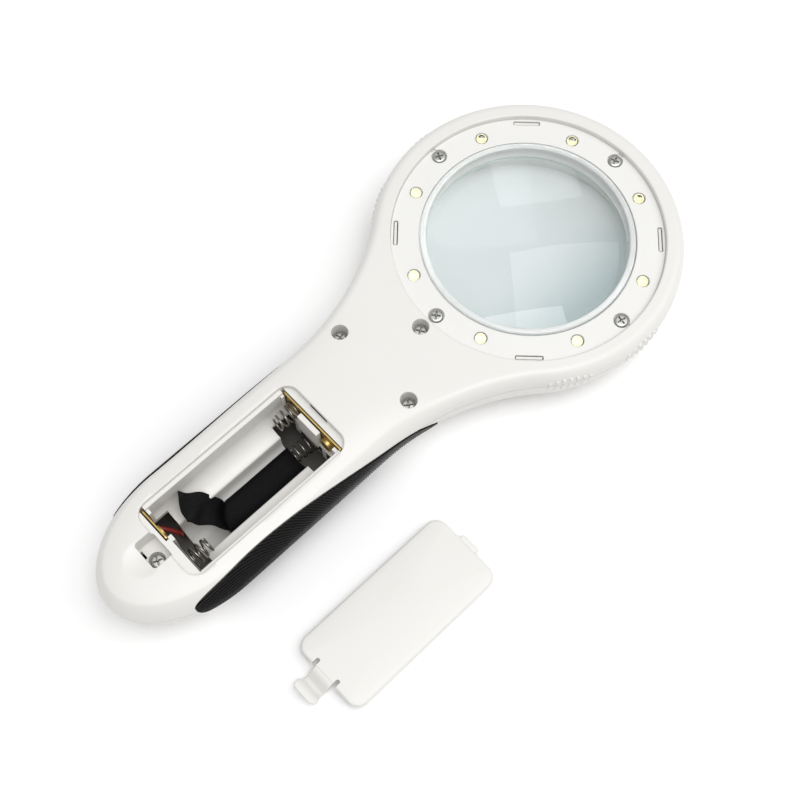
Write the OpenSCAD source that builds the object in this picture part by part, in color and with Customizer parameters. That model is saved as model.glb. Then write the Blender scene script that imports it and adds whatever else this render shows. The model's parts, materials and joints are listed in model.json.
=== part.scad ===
// Handheld lighted magnifier, lying on its front face with the battery cover off beside it.
// Millimetres. +X runs from the butt to the head, +Z up to the lamp side.

/* [Head] */
// Outer radius of the round head at the seam
head_r = 44.4; // [40:0.1:52]
// Width of the rim round the lamp ring
rim_w = 5.6; // [4.5:0.1:7]
// Bulge of each lens face
lens_sag = 3.6; // [2:0.1:3.8]
// Number of lamps round the lens
lamp_count = 8; // [4:4:12]

/* [Handle] */
// Half width of the handle
half_w = 19.2; // [18.5:0.1:22]
// Length of the neck, from the head's edge to the battery bay
neck_l = 37.8; // [37:0.1:42]
// Length of the butt, from the battery bay to the end
butt_l = 22.6; // [22:0.1:30]
// Length of the rounded butt end
butt_round = 30.2; // [26:0.1:34]
// Radius of the curve from the handle into the head
neck_r = 70; // [55:1:90]
// Wall thickness of the two shells
wall = 1.8; // [1.5:0.1:2.2]

/* [Heights] */
// Height of the seam between the two shells
seam_z = 16.8; // [16.2:0.1:17]
// Height of the lamp ring's face
plate_z = 20.8; // [20.6:0.1:21.4]
// Height of the rim round the lamp ring
rim_z = 22.5; // [22:0.1:23.2]
// Height of the handle's crown
crown_z = 24.8; // [24.5:0.1:26]

/* [Battery bay] */
// Diameter of one cell
cell_d = 10.5; // [10:0.1:10.5]
// Length of one cell
cell_l = 44.5; // [43.5:0.1:45]
// Spare length of the bay, taken up by the contacts
bay_slack = 2.9; // [2.5:0.1:3.5]

/* [Cover] */
// Thickness of the battery cover
cover_t = 1.6; // [1.2:0.1:1.8]
// Depth of the skirt and latch below the cover
skirt_h = 2.5; // [2:0.1:3]
// How far the loose cover lies nearer the head than its seat
cover_slip = 8.9; // [0:0.1:12]
// Gap between the handle's side and the loose cover
cover_gap = 18.5; // [12:0.1:25]

/* [Switch] */
// Distance from the battery bay to the middle of the slide switch
switch_gap = 11.7; // [10.5:0.1:13]
// Travel of the switch knob
switch_travel = 4; // [3:0.1:4]

/* [Hidden] */
$fn = 64;
air = 0.3;
seam_gap = 0.15;
solder = 0.05;

// stations along the handle, from the lens axis
bay_x = -head_r - neck_l;
bay_l = cell_l + bay_slack;
bay_end = bay_x - bay_l;
butt_reach = butt_l - bay_end;

// rings of the head, from the rim inwards
recess_r = head_r - rim_w;
plate_r = recess_r - air;
slot_r = recess_r - 1.45;
screw_r = recess_r - 2.8;
lamp_r = recess_r - 4.3;
plate_in_r = recess_r - 8;
view_r = recess_r - 10.1;
plate_t = 1.6;
ledge_z = seam_z;
board_t = 1;
lens_r = view_r + 2.75;
lens_edge_t = 3.1;
lens_z = ledge_z - 4.05;
lens_ball_r = (lens_r * lens_r + lens_sag * lens_sag) / (2 * lens_sag);

// plan outline: head circle, neck arcs, straight sides, elliptical butt
neck_y = half_w + neck_r;
neck_x = -sqrt(pow(head_r + neck_r, 2) - neck_y * neck_y);
turn = atan2(neck_y, neck_x);
butt_x = butt_round - butt_reach;
shoulder_w = 3.4;
crown_w = 14;
belly_w = 10;
floor_t = 1.4;

// battery bay, seen along the handle
seat_z = crown_z - 0.3 - cover_t;
cell_r = cell_d / 2;
trough_r = cell_r + 0.3;
well_r = cell_r + 0.2;
cell_y = cell_r + 0.2;
cell_z = seat_z - 0.25 - cell_r;
well_z = cell_z - sqrt(pow(cell_d + 0.2, 2) - cell_y * cell_y);
bay_half = cell_y + trough_r;
strip_t = 0.4;
strip_z = cell_z - 3.7;
gap_l = 4.8;
head_gap_l = 7;
gap_z = cell_z - 3;
slot_half = bay_half + 1;
head_spring_y = cell_y + 1.55;
button_y = -cell_y - 0.75;
button_r = 2.1;

// battery cover
cover_l = bay_l + 4.2;
cover_w = 2 * bay_half + 1.8;
cover_x = bay_x + 1.8 - cover_l / 2;
latch_y = 1;
latch_w = 6.5;
latch_l = 7.3;
tongue_w = 6;
tongue_l = 1.5;
latch_end = cover_x - cover_l / 2 - latch_l + 1.7;
seat_spare = 0.8;
seat_head = cover_x + cover_l / 2 + air + seat_spare;
cover_rest_x = cover_x + cover_slip;
cover_rest_y = -half_w - cover_gap - cover_w / 2;

// screws that hold the shells together: neck pair, rim, latch pocket
neck_screw_x = -head_r - 15;
neck_screw_y = side_y(neck_screw_x, 6.6);
case_screws_at = [
    [neck_screw_x, neck_screw_y, ledge_z + 1.4], [neck_screw_x, -neck_screw_y, ledge_z + 1.4],
    [-recess_r - 3.2, 0, ledge_z + 1.4], [bay_end - 5.8, 0, ledge_z - 0.2]
];
boss_top = seam_z - 1.7;

// slide switch and its board
switch_x = bay_x + switch_gap;
board_z = 6.9;
board_top = board_z + 1.2;
board_l = 10;
board_w = 21.6;
board_screw_y = board_w / 2 - 1.8;

// the part's own origin: middle of its footprint, finger ribs and loose cover included
rib_out = 0.35;
shift_x = (butt_reach - head_r) / 2;
shift_y = -(head_r + rib_out + cover_rest_y - cover_w / 2) / 2;

// Plan outline and shell surfaces

function swell(x) = let (t = max(0, min(1, (-x - head_r - 1.6) / 28))) t * t * (3 - 2 * t);

// height above the seam at inset d: boxy on the head, leaning in and crowned on the handle
function rise(d, x) = let (n = 2.6 - 0.9 * swell(x))
    (rim_z - seam_z) * pow(1 - pow(1 - min(d, shoulder_w) / shoulder_w, n), 1 / n)
    + (crown_z - rim_z) * swell(x) * (1 - pow(1 - min(d, crown_w) / crown_w, 3));

function drop(d) = seam_z * sqrt(1 - pow(1 - min(d, belly_w) / belly_w, 2));

function half_outline(d) = concat(
    [for (i = [0:22]) (head_r - d) * [cos(turn * i / 22), sin(turn * i / 22)]],
    [for (i = [1:6]) let (a = turn + 180 + (90 - turn) * i / 6)
        [neck_x, neck_y] + (neck_r + d) * [cos(a), sin(a)]],
    [for (i = [1:4]) [neck_x + (butt_x - neck_x) * i / 4, half_w - d]],
    [for (i = [1:9]) [butt_x - (butt_round - d) * sin(10 * i), (half_w - d) * cos(10 * i)]]
);

function outline(d) =
    let (half = half_outline(d))
    concat(half, [for (i = [len(half) - 2:-1:1]) [half[i].x, -half[i].y]]);

function top_ring(d, inset) =
    [for (p = outline(d + inset)) [p.x, p.y, seam_z + rise(d, p.x) - inset]];

function belly_ring(d, inset) =
    [for (p = outline(d + inset)) [p.x, p.y, max(seam_z - drop(d), inset > 0 ? floor_t : 0)]];

function flat_ring(inset, z) = [for (p = outline(inset)) [p.x, p.y, z]];

// half width of the handle at x, with the wall moved in by d
function side_y(x, d) =
    x > neck_x ? neck_y - sqrt(pow(neck_r + d, 2) - pow(x - neck_x, 2))
    : x > butt_x ? half_w - d
    : (half_w - d) * sqrt(1 - pow((butt_x - x) / (butt_round - d), 2));

// closed skin through a stack of outlines, lowest first
module loft(rings) {
    n = len(rings[0]);
    h = n / 2 + 1;
    last = (len(rings) - 1) * n;
    sides = [for (k = [0:len(rings) - 2], i = [0:n - 1])
        let (a = k * n + i, b = k * n + (i + 1) % n) each [[a, a + n, b + n], [a, b + n, b]]];
    cap = [for (i = [0:h - 2]) let (j = i + 1, mi = (n - i) % n, mj = (n - i - 1) % n)
        each concat(mj == j ? [] : [[i, j, mj]], mi == i ? [] : [[i, mj, mi]])];
    lid = [for (f = cap) [f[2] + last, f[1] + last, f[0] + last]];
    polyhedron([for (r = rings) each r], concat(sides, cap, lid), convexity = 8);
}

top_insets = [0.1, 0.35, 0.8, 1.5, 2.4, 3.2, 5, 8, 11, 14];
belly_insets = [0.15, 0.5, 1.2, 2.2, 3.5, 5, 7];

module top_skin()
    loft(concat([flat_ring(0, seam_z + seam_gap)], [for (d = top_insets) top_ring(d, 0)]));

module top_hollow()
    loft(concat([flat_ring(wall, seam_z - 1)], [for (d = top_insets) top_ring(d, wall)]));

module belly_skin()
    loft(concat([flat_ring(belly_w, 0)],
        [for (i = [len(belly_insets) - 1:-1:0]) belly_ring(belly_insets[i], 0)],
        [flat_ring(0, seam_z - seam_gap)]));

module belly_hollow()
    loft(concat([flat_ring(belly_w + wall, floor_t - 0.01)],
        [for (i = [3:-1:0]) belly_ring(belly_insets[i], wall)],
        [flat_ring(wall, seam_z + 1)]));

// Small shapes used again and again

module tube(r, bore, h) difference() {
    cylinder(r = r, h = h);
    translate([0, 0, -1]) cylinder(r = bore, h = h + 2);
}

module around(count, r, start = 0)
    for (i = [0:count - 1]) rotate(start + 360 * i / count) translate([r, 0, 0]) children();

module block(low, high) translate(low) cube(high - low);

module along_x(from, to)
    translate([from, 0, 0]) rotate([90, 0, 90]) linear_extrude(to - from) children();

module round_rect(l, w, r) {
    square([l - 2 * r, w], center = true);
    square([l, w - 2 * r], center = true);
    for (x = [-1, 1], y = [-1, 1]) translate([x * (l / 2 - r), y * (w / 2 - r)]) circle(r);
}

// screw with its head's underside at height 0
module cross_screw(head_radius, head_h, shank_r, shank_l) difference() {
    union() {
        cylinder(r = head_radius, h = head_h);
        translate([0, 0, -shank_l]) cylinder(r = shank_r, h = shank_l + 0.1);
    }
    for (a = [0, 90]) rotate(a) translate([-0.75 * head_radius, -0.25, head_h - 0.5])
        cube([1.5 * head_radius, 0.5, 1]);
}

// closed tube of radius r through a list of points
module sweep(path, r, sides) {
    n = len(path);
    function unit(v) = v / norm(v);
    function run(i) = unit(path[i + 1] - path[i]);
    function heading(i) = i == 0 ? run(0) : i == n - 1 ? run(n - 2) : unit(run(i - 1) + run(i));
    function square_to(v, h) = unit(v - h * (v * h));
    function frames(i, v) = i == n ? []
        : let (p = square_to(v, heading(i))) concat([p], frames(i + 1, p));
    start = abs(run(0).z) < 0.7 ? [0, 0, 1] : [1, 0, 0];
    normals = frames(0, start);
    points = [for (i = [0:n - 1]) let (p = normals[i], q = cross(heading(i), p))
        each [for (k = [0:sides - 1]) let (a = 360 * k / sides) path[i] + r * (cos(a) * p + sin(a) * q)]];
    walls = [for (i = [0:n - 2], k = [0:sides - 1])
        let (a = i * sides + k, b = i * sides + (k + 1) % sides)
        each [[a, a + sides, b + sides], [a, b + sides, b]]];
    ends = [[for (k = [0:sides - 1]) k], [for (k = [sides - 1:-1:0]) (n - 1) * sides + k]];
    polyhedron(points, concat(walls, ends), convexity = 10);
}

// insulated wire through a list of points, with rounded bends
module wire(points) {
    last = len(points) - 1;
    bends = [for (i = [1:last - 1]) let (p = points[i], back = points[i - 1] - p, on = points[i + 1] - p,
        from = p + back / norm(back) * 1.6, to = p + on / norm(on) * 1.6)
        each [for (t = [0:0.25:1]) (1 - t) * (1 - t) * from + 2 * t * (1 - t) * p + t * t * to]];
    sweep(concat([points[0]], bends, [points[last]]), 0.6, 8);
}

// Battery bay section, looking along the handle

module bay_section(grow = 0) {
    for (s = [-1, 1]) translate([s * cell_y, cell_z]) circle(trough_r + grow);
    translate([-bay_half - grow, cell_z]) square([2 * (bay_half + grow), seat_z - cell_z]);
    translate([-cell_y, well_z - grow]) square([2 * cell_y, cell_z - well_z + grow]);
    translate([0, well_z]) circle(well_r + grow);
    translate([-well_r - grow, well_z]) square([2 * (well_r + grow), cell_z - well_z]);
}

// Finger-grip ribs on the head's side wall, either side of the seam

rib_tall = [1.6, 2.3, 2.7, 2.9, 2.7, 2.3, 1.6];
rib_r = 0.6;
rib_step = 2.5;

module side_ribs(up) for (s = [-1, 1], middle = [89, 120], k = [0:6])
    rotate(s * (middle + rib_step * (k - 3))) translate([head_r + rib_out - rib_r, 0, seam_z + up * 0.5])
        scale([1, 1, up]) cylinder(r = rib_r, h = rib_tall[k], $fn = 16);

// Rubber grip laid into the handle's side, leaf shaped between two tips

grip_head = -head_r - 10.6;
grip_l = butt_reach - head_r - 26.2;

function wall_d(s) = s * s * (s > 0 ? 4 : 4.5);
function wall_yz(x, s) =
    let (d = wall_d(s)) [side_y(x, d), s > 0 ? seam_z + rise(d, x) : seam_z - drop(d)];
function wall_point(x, s, out) =
    let (t = wall_yz(x, s + 0.05) - wall_yz(x, s - 0.05), p = wall_yz(x, s))
    [x, p.x + out * t.y / norm(t), p.y - out * t.x / norm(t)];
function leaf(u, lift) = let (w = pow(sin(180 * pow(u, 1.6)), 0.45), mid = -0.3 + 0.5 * u)
    [mid - 1.3 * w, mid + lift * w];

// the right grip reaches up over the shoulder, the left one stops below it
left_lift = 0.62;
right_lift = 0.85;

module grip_solid(lift, out, deep, grow) {
    nu = 28;
    nv = 7;
    first = 0.004 - 0.1 * grow;
    function at(i, j, e) = let (u = 0.5 - (0.5 - first) * cos(180 * i / nu), s = leaf(u, lift),
        v = s[0] - grow + (s[1] - s[0] + 2 * grow) * j / nv)
        wall_point(grip_head - grip_l * u, v, e);
    row = nv + 1;
    skin = (nu + 1) * row;
    function quad(a, b, c, d) = [[a, b, c], [a, c, d]];
    points = concat([for (i = [0:nu], j = [0:nv]) at(i, j, out)],
        [for (i = [0:nu], j = [0:nv]) at(i, j, -deep)]);
    faces = concat(
        [for (i = [0:nu - 1], j = [0:nv - 1]) let (a = i * row + j)
            each quad(a, a + 1, a + row + 1, a + row)],
        [for (i = [0:nu - 1], j = [0:nv - 1]) let (a = skin + i * row + j)
            each quad(a, a + row, a + row + 1, a + 1)],
        [for (i = [0:nu - 1]) let (a = i * row) each quad(a, a + row, skin + a + row, skin + a)],
        [for (i = [0:nu - 1]) let (a = i * row + nv)
            each quad(a, skin + a, skin + a + row, a + row)],
        [for (j = [0:nv - 1]) each quad(j, skin + j, skin + j + 1, j + 1)],
        [for (j = [0:nv - 1]) let (a = nu * row + j)
            each quad(a, a + 1, skin + a + 1, skin + a)]);
    polyhedron(points, faces, convexity = 4);
}

module grip_pockets() {
    grip_solid(left_lift, 2, 0.95, 0.03);
    mirror([0, 1, 0]) grip_solid(right_lift, 2, 0.95, 0.03);
}

// Back shell: lamp recess, battery bay, cover seat and latch pocket

module back_shell() color("white") {
    back_moulding();
    around(4, slot_r, 45) block([-0.35, -3.6, ledge_z - 1], [0.35, 3.6, plate_z - 0.4]);
    contact_lips();
}

// ribs that hold the contacts in their slots, with a wide one between spring and button at the head
module contact_lips() {
    lip_z = [strip_z + 0.6, seat_z - 1];
    beam_z = [strip_z - 1.2, strip_z - air];
    block([bay_x - 1.1, bay_half - 0.6, lip_z[0]], [bay_x - 0.15, bay_half + 0.8, lip_z[1]]);
    block([bay_x - 1.1, -bay_half - 0.8, lip_z[0]], [bay_x - 0.15, 1.6 - bay_half, lip_z[1]]);
    block([bay_end + 0.15, bay_half - 1.4, lip_z[0]], [bay_end + 1, bay_half + 0.8, lip_z[1]]);
    block([bay_end - 0.2, 0.1, lip_z[0]], [bay_end + 1, 1.9, lip_z[1]]);
    spring_side = head_spring_y - coil_r(0) - coil_wire / 2 - air;
    block([bay_x - 1.6, button_y + button_r + air, beam_z[0]], [bay_x - 0.15, spring_side, lip_z[1]]);
    // beam under the head strip, on two posts that flank the well's plate
    block([bay_x - 1, -bay_half - 0.5, beam_z[0]], [bay_x + 0.3, bay_half + 0.5, beam_z[1]]);
    for (y = [-5.5, 5.5]) block([bay_x - 1, y - 0.8, well_z - 2.5], [bay_x + 0.2, y + 0.8, beam_z[1]]);
}

// slots in the bay's end walls: right across at the head, and for the positive plate at the butt
module contact_slots() {
    block([bay_x - 0.1, -slot_half, strip_z - air], [bay_x + 0.9, slot_half, seat_z + 1]);
    block([bay_end - 1.2, 0.9, plate_low - air], [bay_end + 0.1, slot_half + 0.4, seat_z + 1]);
    block([bay_end - 1.2, tab_y - 1.2, tab_z - 1.2], [bay_end + 0.1, tab_y + 1.2, plate_low]);
}

module back_moulding() difference() {
    union() {
        difference() {
            top_skin();
            top_hollow();
        }
        side_ribs(1);
        translate([0, 0, ledge_z - 1.5]) tube(recess_r + 1.6, view_r + 3.7, rim_z - 0.8 - ledge_z + 1.5);
        around(4, screw_r) translate([0, 0, ledge_z - 5.3]) cylinder(r = 2.4, h = 5);
        along_x(bay_end - 2.2, bay_x + 2.2) bay_section(1);
        block([bay_end - 3.2, -slot_half - 1, strip_z - 1], [bay_end + 0.4, slot_half + 1.4, seat_z]);
        block([bay_x - 0.4, -slot_half - 1, strip_z - 1], [seat_head + 0.7, slot_half + 1, seat_z]);
        for (p = case_screws_at) translate([p.x, p.y, seam_z - 1.4]) cylinder(r = 3.5, h = 6.8);
        block([latch_end - 1.4, latch_y - latch_w / 2 - 2, seam_z - 1.4],
            [bay_end - 2, latch_y + latch_w / 2 + 2, crown_z - 1]);
    }
    // lamp ring recess: a floor for the board and a step for the plate
    translate([0, 0, ledge_z]) cylinder(r = recess_r - 1.2, h = 20);
    translate([0, 0, plate_z - plate_t - 0.1]) cylinder(r = recess_r, h = 20);
    around(4, screw_r) translate([0, 0, ledge_z - 6]) cylinder(r = 1.05, h = 10);
    rotate(wire_turn) translate([lamp_r, 0, ledge_z - 3]) cylinder(r = 1.6, h = 6);
    // battery bay, whose floor stops short of both end walls and lets the positive wire through
    along_x(bay_end, bay_x) bay_section();
    block([bay_end, 3 - bay_half, 0], [bay_end + gap_l, bay_half - 1, gap_z]);
    block([bay_x - head_gap_l, 2 - bay_half, 0], [bay_x, bay_half - 2, gap_z]);
    contact_slots();
    translate([bay_x, 0, well_z]) rotate([0, 90, 0]) cylinder(r = 1.2, h = 5);
    // seat, tongue slot and latch pocket of the cover
    translate([cover_x + seat_spare / 2, 0, seat_z]) linear_extrude(10)
        round_rect(cover_l + 2 * air + seat_spare, cover_w + 2 * air, 3.8);
    block([seat_head - 0.1, -tongue_w / 2 - air, seat_z - 0.1],
        [seat_head + tongue_l, tongue_w / 2 + air, seat_z + 1.2]);
    block([latch_end, latch_y - latch_w / 2 - 0.95, ledge_z + 1.6],
        [cover_x - cover_l / 2 + 0.2, latch_y + latch_w / 2 + 0.95, crown_z + 1]);
    block([latch_end + 0.1, latch_y + 1.2, ledge_z - 3], [latch_end + 0.8, latch_y + 3.6, ledge_z + 2]);
    translate([latch_end - 0.8, latch_y, crown_z + 15.2]) sphere(r = 16, $fn = 128);
    // screw bores
    for (p = case_screws_at) translate(p) {
        cylinder(r = 2.3, h = 20);
        translate([0, 0, -5]) cylinder(r = 1.4, h = 10);
    }
    grip_pockets();
}

// Front shell: lens seat, screw bosses and switch pocket

module front_shell() color("white") difference() {
    union() {
        difference() {
            belly_skin();
            belly_hollow();
        }
        side_ribs(-1);
        rotate_extrude() polygon([[view_r + 2, 0], [view_r + 6, 0], [view_r + 6, floor_t + 0.2],
            [view_r + 4.4, lens_z + 2], [view_r + 4.4, ledge_z - 1.8], [view_r + 3, ledge_z - 1.8],
            [view_r + 3, lens_z - 0.65], [view_r + 0.5, lens_z - 0.65]]);
        for (p = case_screws_at) translate([p.x, p.y, p.y == 0 ? 0.8 : 2.9])
            cylinder(r = 2.6, h = boss_top - (p.y == 0 ? 0.8 : 2.9));
        on_board_screws(0.5) cylinder(r = 1.9, h = board_z - 0.1 - 0.5);
        block([switch_x - 8.5, -5.7, 0.4], [switch_x + 8.5, 5.7, 3.2]);
    }
    translate([0, 0, -1]) cylinder(r1 = view_r + 2.4, r2 = view_r + 0.5, h = lens_z + 0.4);
    for (p = case_screws_at) translate([p.x, p.y, floor_t + 2.5]) cylinder(r = 1.3, h = 20);
    on_board_screws(2.5) cylinder(r = 0.8, h = 10);
    block([switch_x - 7.2, -4.4, -1], [switch_x + 7.2, 4.4, 1.9]);
    block([switch_x - 4.2, -1.8, -1], [switch_x + 4.2, 1.8, 5]);
    grip_pockets();
}

// Lamp ring, lens and screws of the head

module lamp_ring_plate() color("white") translate([0, 0, plate_z - plate_t]) difference() {
    tube(plate_r, plate_in_r, plate_t);
    around(lamp_count, lamp_r, 180 / lamp_count) translate([0, 0, -1]) cylinder(r = 1.85, h = 4);
    around(4, screw_r) {
        translate([0, 0, -1]) cylinder(r = 1.25, h = 4);
        translate([0, 0, 0.5]) cylinder(r = 2.25, h = 4);
        translate([1, -0.8, 1]) cube([4, 1.6, 2]);
    }
    around(4, slot_r, 45) translate([-0.65, -3.9, -1]) cube([1.3, 7.8, 4]);
}

module ring_screws() color("silver")
    around(4, screw_r) translate([0, 0, plate_z - plate_t + 0.6]) cross_screw(1.95, 0.95, 0.95, 7);

module lens() color("lightblue") translate([0, 0, lens_z]) intersection() {
    cylinder(r = lens_r, h = 40, center = true);
    translate([0, 0, lens_edge_t + lens_sag - lens_ball_r]) sphere(r = lens_ball_r, $fn = 256);
    translate([0, 0, lens_ball_r - lens_sag]) sphere(r = lens_ball_r, $fn = 256);
}

module lens_retainer() color("white", 0.5) rotate_extrude() polygon([
    [view_r, ledge_z - 0.2], [view_r + 3.2, ledge_z - 0.2], [view_r + 3.2, plate_z - plate_t - air],
    [view_r + 1.8, plate_z - plate_t - air], [view_r + 1.8, plate_z + 0.4], [view_r, plate_z + 0.4]]);

module lamp_board() color("green") translate([0, 0, ledge_z + 0.1]) difference() {
    tube(recess_r - 2.2, view_r + 3.7, board_t);
    around(4, screw_r) translate([0, 0, -1]) cylinder(r = 1.5, h = 4);
}

module lamp_chips() color("gold")
    around(lamp_count, lamp_r, 180 / lamp_count)
        translate([0, 0, ledge_z + board_t + 0.15]) cylinder(r = 1.2, h = 0.6);

module lamp_domes() color("white", 0.4)
    around(lamp_count, lamp_r, 180 / lamp_count) translate([0, 0, ledge_z + board_t + 0.8]) {
        cylinder(r = 1.55, h = 1.6);
        translate([0, 0, 1.6]) intersection() {
            sphere(r = 1.55);
            translate([0, 0, 1.45]) cube([4, 4, 3], center = true);
        }
    }

module case_screws() color("silver")
    for (p = case_screws_at) translate([p.x, p.y, p.z + 0.05]) cross_screw(2, 1.3, 1.15, 9);

module left_grip() color("black") grip_solid(left_lift, 0.25, 0.8, 0);

module right_grip() color("black") mirror([0, 1, 0]) grip_solid(right_lift, 0.25, 0.8, 0);

// Battery contacts

// coil along -X from a contact plate: straight lead, tapering curls, straight tip
coil_wire = 0.6;
coil_curls = 4;
coil_l = 6.4;
coil_rings = 8 * coil_curls;

function coil_r(t) = 2.7 - 0.8 * t;
function coil_point(i) = let (t = i / coil_rings)
    [-coil_wire - (coil_l - 2 * coil_wire) * t, coil_r(t) * cos(45 * i), coil_r(t) * sin(45 * i)];
coil_path = concat([[0, coil_r(0), 0]], [for (i = [0:coil_rings]) coil_point(i)],
    [coil_point(coil_rings) - [coil_wire, 0, 0]]);
coil_gap = min([for (i = [0:coil_rings - 6], j = [i + 6:min(i + 10, coil_rings)])
    norm(coil_point(i) - coil_point(j))]) - coil_wire;
echo(least_gap_of_coil_to_itself = coil_gap);

module coil() sweep(coil_path, coil_wire / 2, 6);

// sheet-metal contact against a bay end wall at x, cut to the bay's section: side to side, bottom to top
module contact(x, y, z) intersection() {
    along_x(x, x + strip_t) bay_section(-air);
    block([x - 1, y[0], z[0]], [x + 1, y[1], z[1]]);
}

head_strip_x = bay_x + 0.25;
well_plate_x = bay_x - strip_t - 0.1;
butt_plate_x = bay_end + 0.1;
positive_x = bay_end - 0.75;
plate_low = cell_z - 3.6;

module head_contact_strip() color("gold") {
    block([head_strip_x, air - slot_half, strip_z], [head_strip_x + strip_t, slot_half - air, seat_z - 0.6]);
    translate([head_strip_x - 1.2, button_y, cell_z]) rotate([0, 90, 0]) cylinder(r = button_r, h = 1.3);
}

module head_spring() color("silver")
    translate([head_strip_x - solder, head_spring_y, cell_z]) coil();

module well_contact_plate() color("silver") contact(well_plate_x, [-4.4, 4.4], [well_z - 2.3, well_z + 3.6]);

module well_spring() color("silver")
    translate([well_plate_x - solder, 0, well_z + 0.2]) coil();

module butt_positive_plate() color("gold") {
    block([positive_x, 1.3, plate_low], [positive_x + strip_t, slot_half, seat_z - 0.4]);
    translate([positive_x + strip_t - 0.1, cell_y, cell_z]) rotate([0, 90, 0]) cylinder(r = 2, h = 0.8);
    block([positive_x, tab_y - 0.9, tab_z - 0.9], [positive_x + strip_t, tab_y + 0.9, plate_low + 1]);
}

module butt_contact_strip() color("silver") {
    contact(butt_plate_x, [-bay_half, -0.4], [cell_z - 5.2, seat_z - 0.8]);
    contact(butt_plate_x, [-4.3, 4.3], [well_z - 2.3, cell_z - 5.1]);
}

module butt_spring() color("silver")
    translate([butt_plate_x + strip_t + solder, -cell_y, cell_z]) mirror([1, 0, 0]) coil();

// Pull ribbon: up the well, over a crease, free tail leaning to the left cradle

ribbon_w = 9;
ribbon_t = 0.4;
ribbon_line = [
    [bay_x - 10, 0, well_z - 3.2, 0], [bay_x - 20, 0, well_z - 2.4, 0], [bay_x - 28, 0, well_z + 0.2, 6],
    [bay_x - 33, 0.4, well_z + 3.4, 14], [bay_x - 35, 2.2, well_z + 5.6, 30],
    [bay_x - 38, 5, well_z + 8.6, 36], [bay_x - 41.5, 7.4, well_z + 11.6, 30]
];

module pull_ribbon() {
    n = len(ribbon_line);
    function across(i) = let (a = ribbon_line[i][3]) [sin(a), cos(a), 0];
    function corner(i, s, h) = let (p = ribbon_line[i], w = i < 3 ? 7.6 : ribbon_w - 1)
        [p.x, p.y, p.z] + s * w / 2 * across(i) + [0, 0, h];
    points = [for (i = [0:n - 1])
        each [corner(i, 1, 0), corner(i, -1, 0), corner(i, -1, ribbon_t), corner(i, 1, ribbon_t)]];
    faces = concat(
        [for (i = [0:n - 2], k = [0:3]) let (a = 4 * i + k, b = 4 * i + (k + 1) % 4)
            each [[a, b, b + 4], [a, b + 4, a + 4]]],
        [[3, 2, 1, 0]], [[for (k = [0:3]) 4 * (n - 1) + k]]);
    color("black") polyhedron(points, faces, convexity = 4);
}

// Wires, switch and its board

// the positive plate's solder tab, and the turn and spread of the lamp wires at the head
tab_y = bay_half - 2.1;
tab_z = gap_z - 1.6;
wire_turn = 168;
wire_spread = 1.25;
lift_z = board_top + 3.4;

function lamp_joint(s) = let (a = wire_turn + s * wire_spread) lamp_r * [cos(a), sin(a)];

module positive_wire() color("red") wire([
    [positive_x + strip_t + solder, tab_y, tab_z], [bay_end + 2.2, tab_y, tab_z],
    [bay_end + gap_l - 1.2, well_r + 0.7, well_z - 3], [bay_end + gap_l + 2, well_r + 1.9, well_z - 2],
    [bay_x, well_r + 1.9, well_z],
    [switch_x - 1.5, 6, lift_z], [switch_x - 1.5, 6, board_top + solder]]);

module negative_wire() color("black") wire([
    [bay_x - 0.1 + solder, 0, well_z], [bay_x + 3.4, 0, well_z],
    [switch_x - 3.4, -5.6, lift_z], [switch_x - 3.4, -5.6, board_top + solder]]);

module lamp_wire(s) let (top = lamp_joint(s)) wire([
    [switch_x + 3.4, -5 * s, board_top + solder], [switch_x + 3.4, -5 * s, lift_z],
    [-head_r - 1.6, top.y, lift_z], [top.x, top.y, lift_z - 1.5], [top.x, top.y, ledge_z + 0.1 - solder]]);

module lamp_feed_wire() color("red") lamp_wire(-1);

module lamp_return_wire() color("black") lamp_wire(1);

module on_board_screws(z) for (s = [-1, 1]) translate([switch_x, s * board_screw_y, z]) children();

module switch_board() color("green") difference() {
    block([switch_x - board_l / 2, -board_w / 2, board_z], [switch_x + board_l / 2, board_w / 2, board_top]);
    on_board_screws(0) cylinder(r = 1, h = 20);
}

module switch_body() color("silver") difference() {
    block([switch_x - 4.6, -3, 3.4], [switch_x + 4.6, 3, board_z - solder]);
    block([switch_x - 3.6, -1.5, 3], [switch_x + 3.6, 1.5, 5]);
}

module switch_knob() color("white") translate([switch_x - switch_travel / 2, 0, 0]) {
    translate([0, 0, 0.4]) linear_extrude(1.1) round_rect(9, 7.4, 1.2);
    block([-1.4, -1.2, 1.4], [1.4, 1.2, 4.6]);
    for (k = [-2:2]) block([1.5 * k - 0.3, -3, 0.15], [1.5 * k + 0.3, 3, 0.5]);
}

module board_screws() color("silver") on_board_screws(board_top + solder) cross_screw(1.6, 0.9, 0.7, 4.5);

module resistor() color("tan") translate([switch_x + 1.6, 0, board_top + 0.9]) rotate([90, 0, 0]) {
    cylinder(r = 0.8, h = 3.4, center = true);
    cylinder(r = 0.25, h = 6, center = true);
    for (s = [-1, 1]) translate([0, 0, s * 2.9]) rotate([90, 0, 0]) translate([0, 0, -0.2])
        cylinder(r = 0.25, h = 1.05, $fn = 16);
}

// Battery cover with its skirt, tongue and spring latch, as it lies on the table

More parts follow.
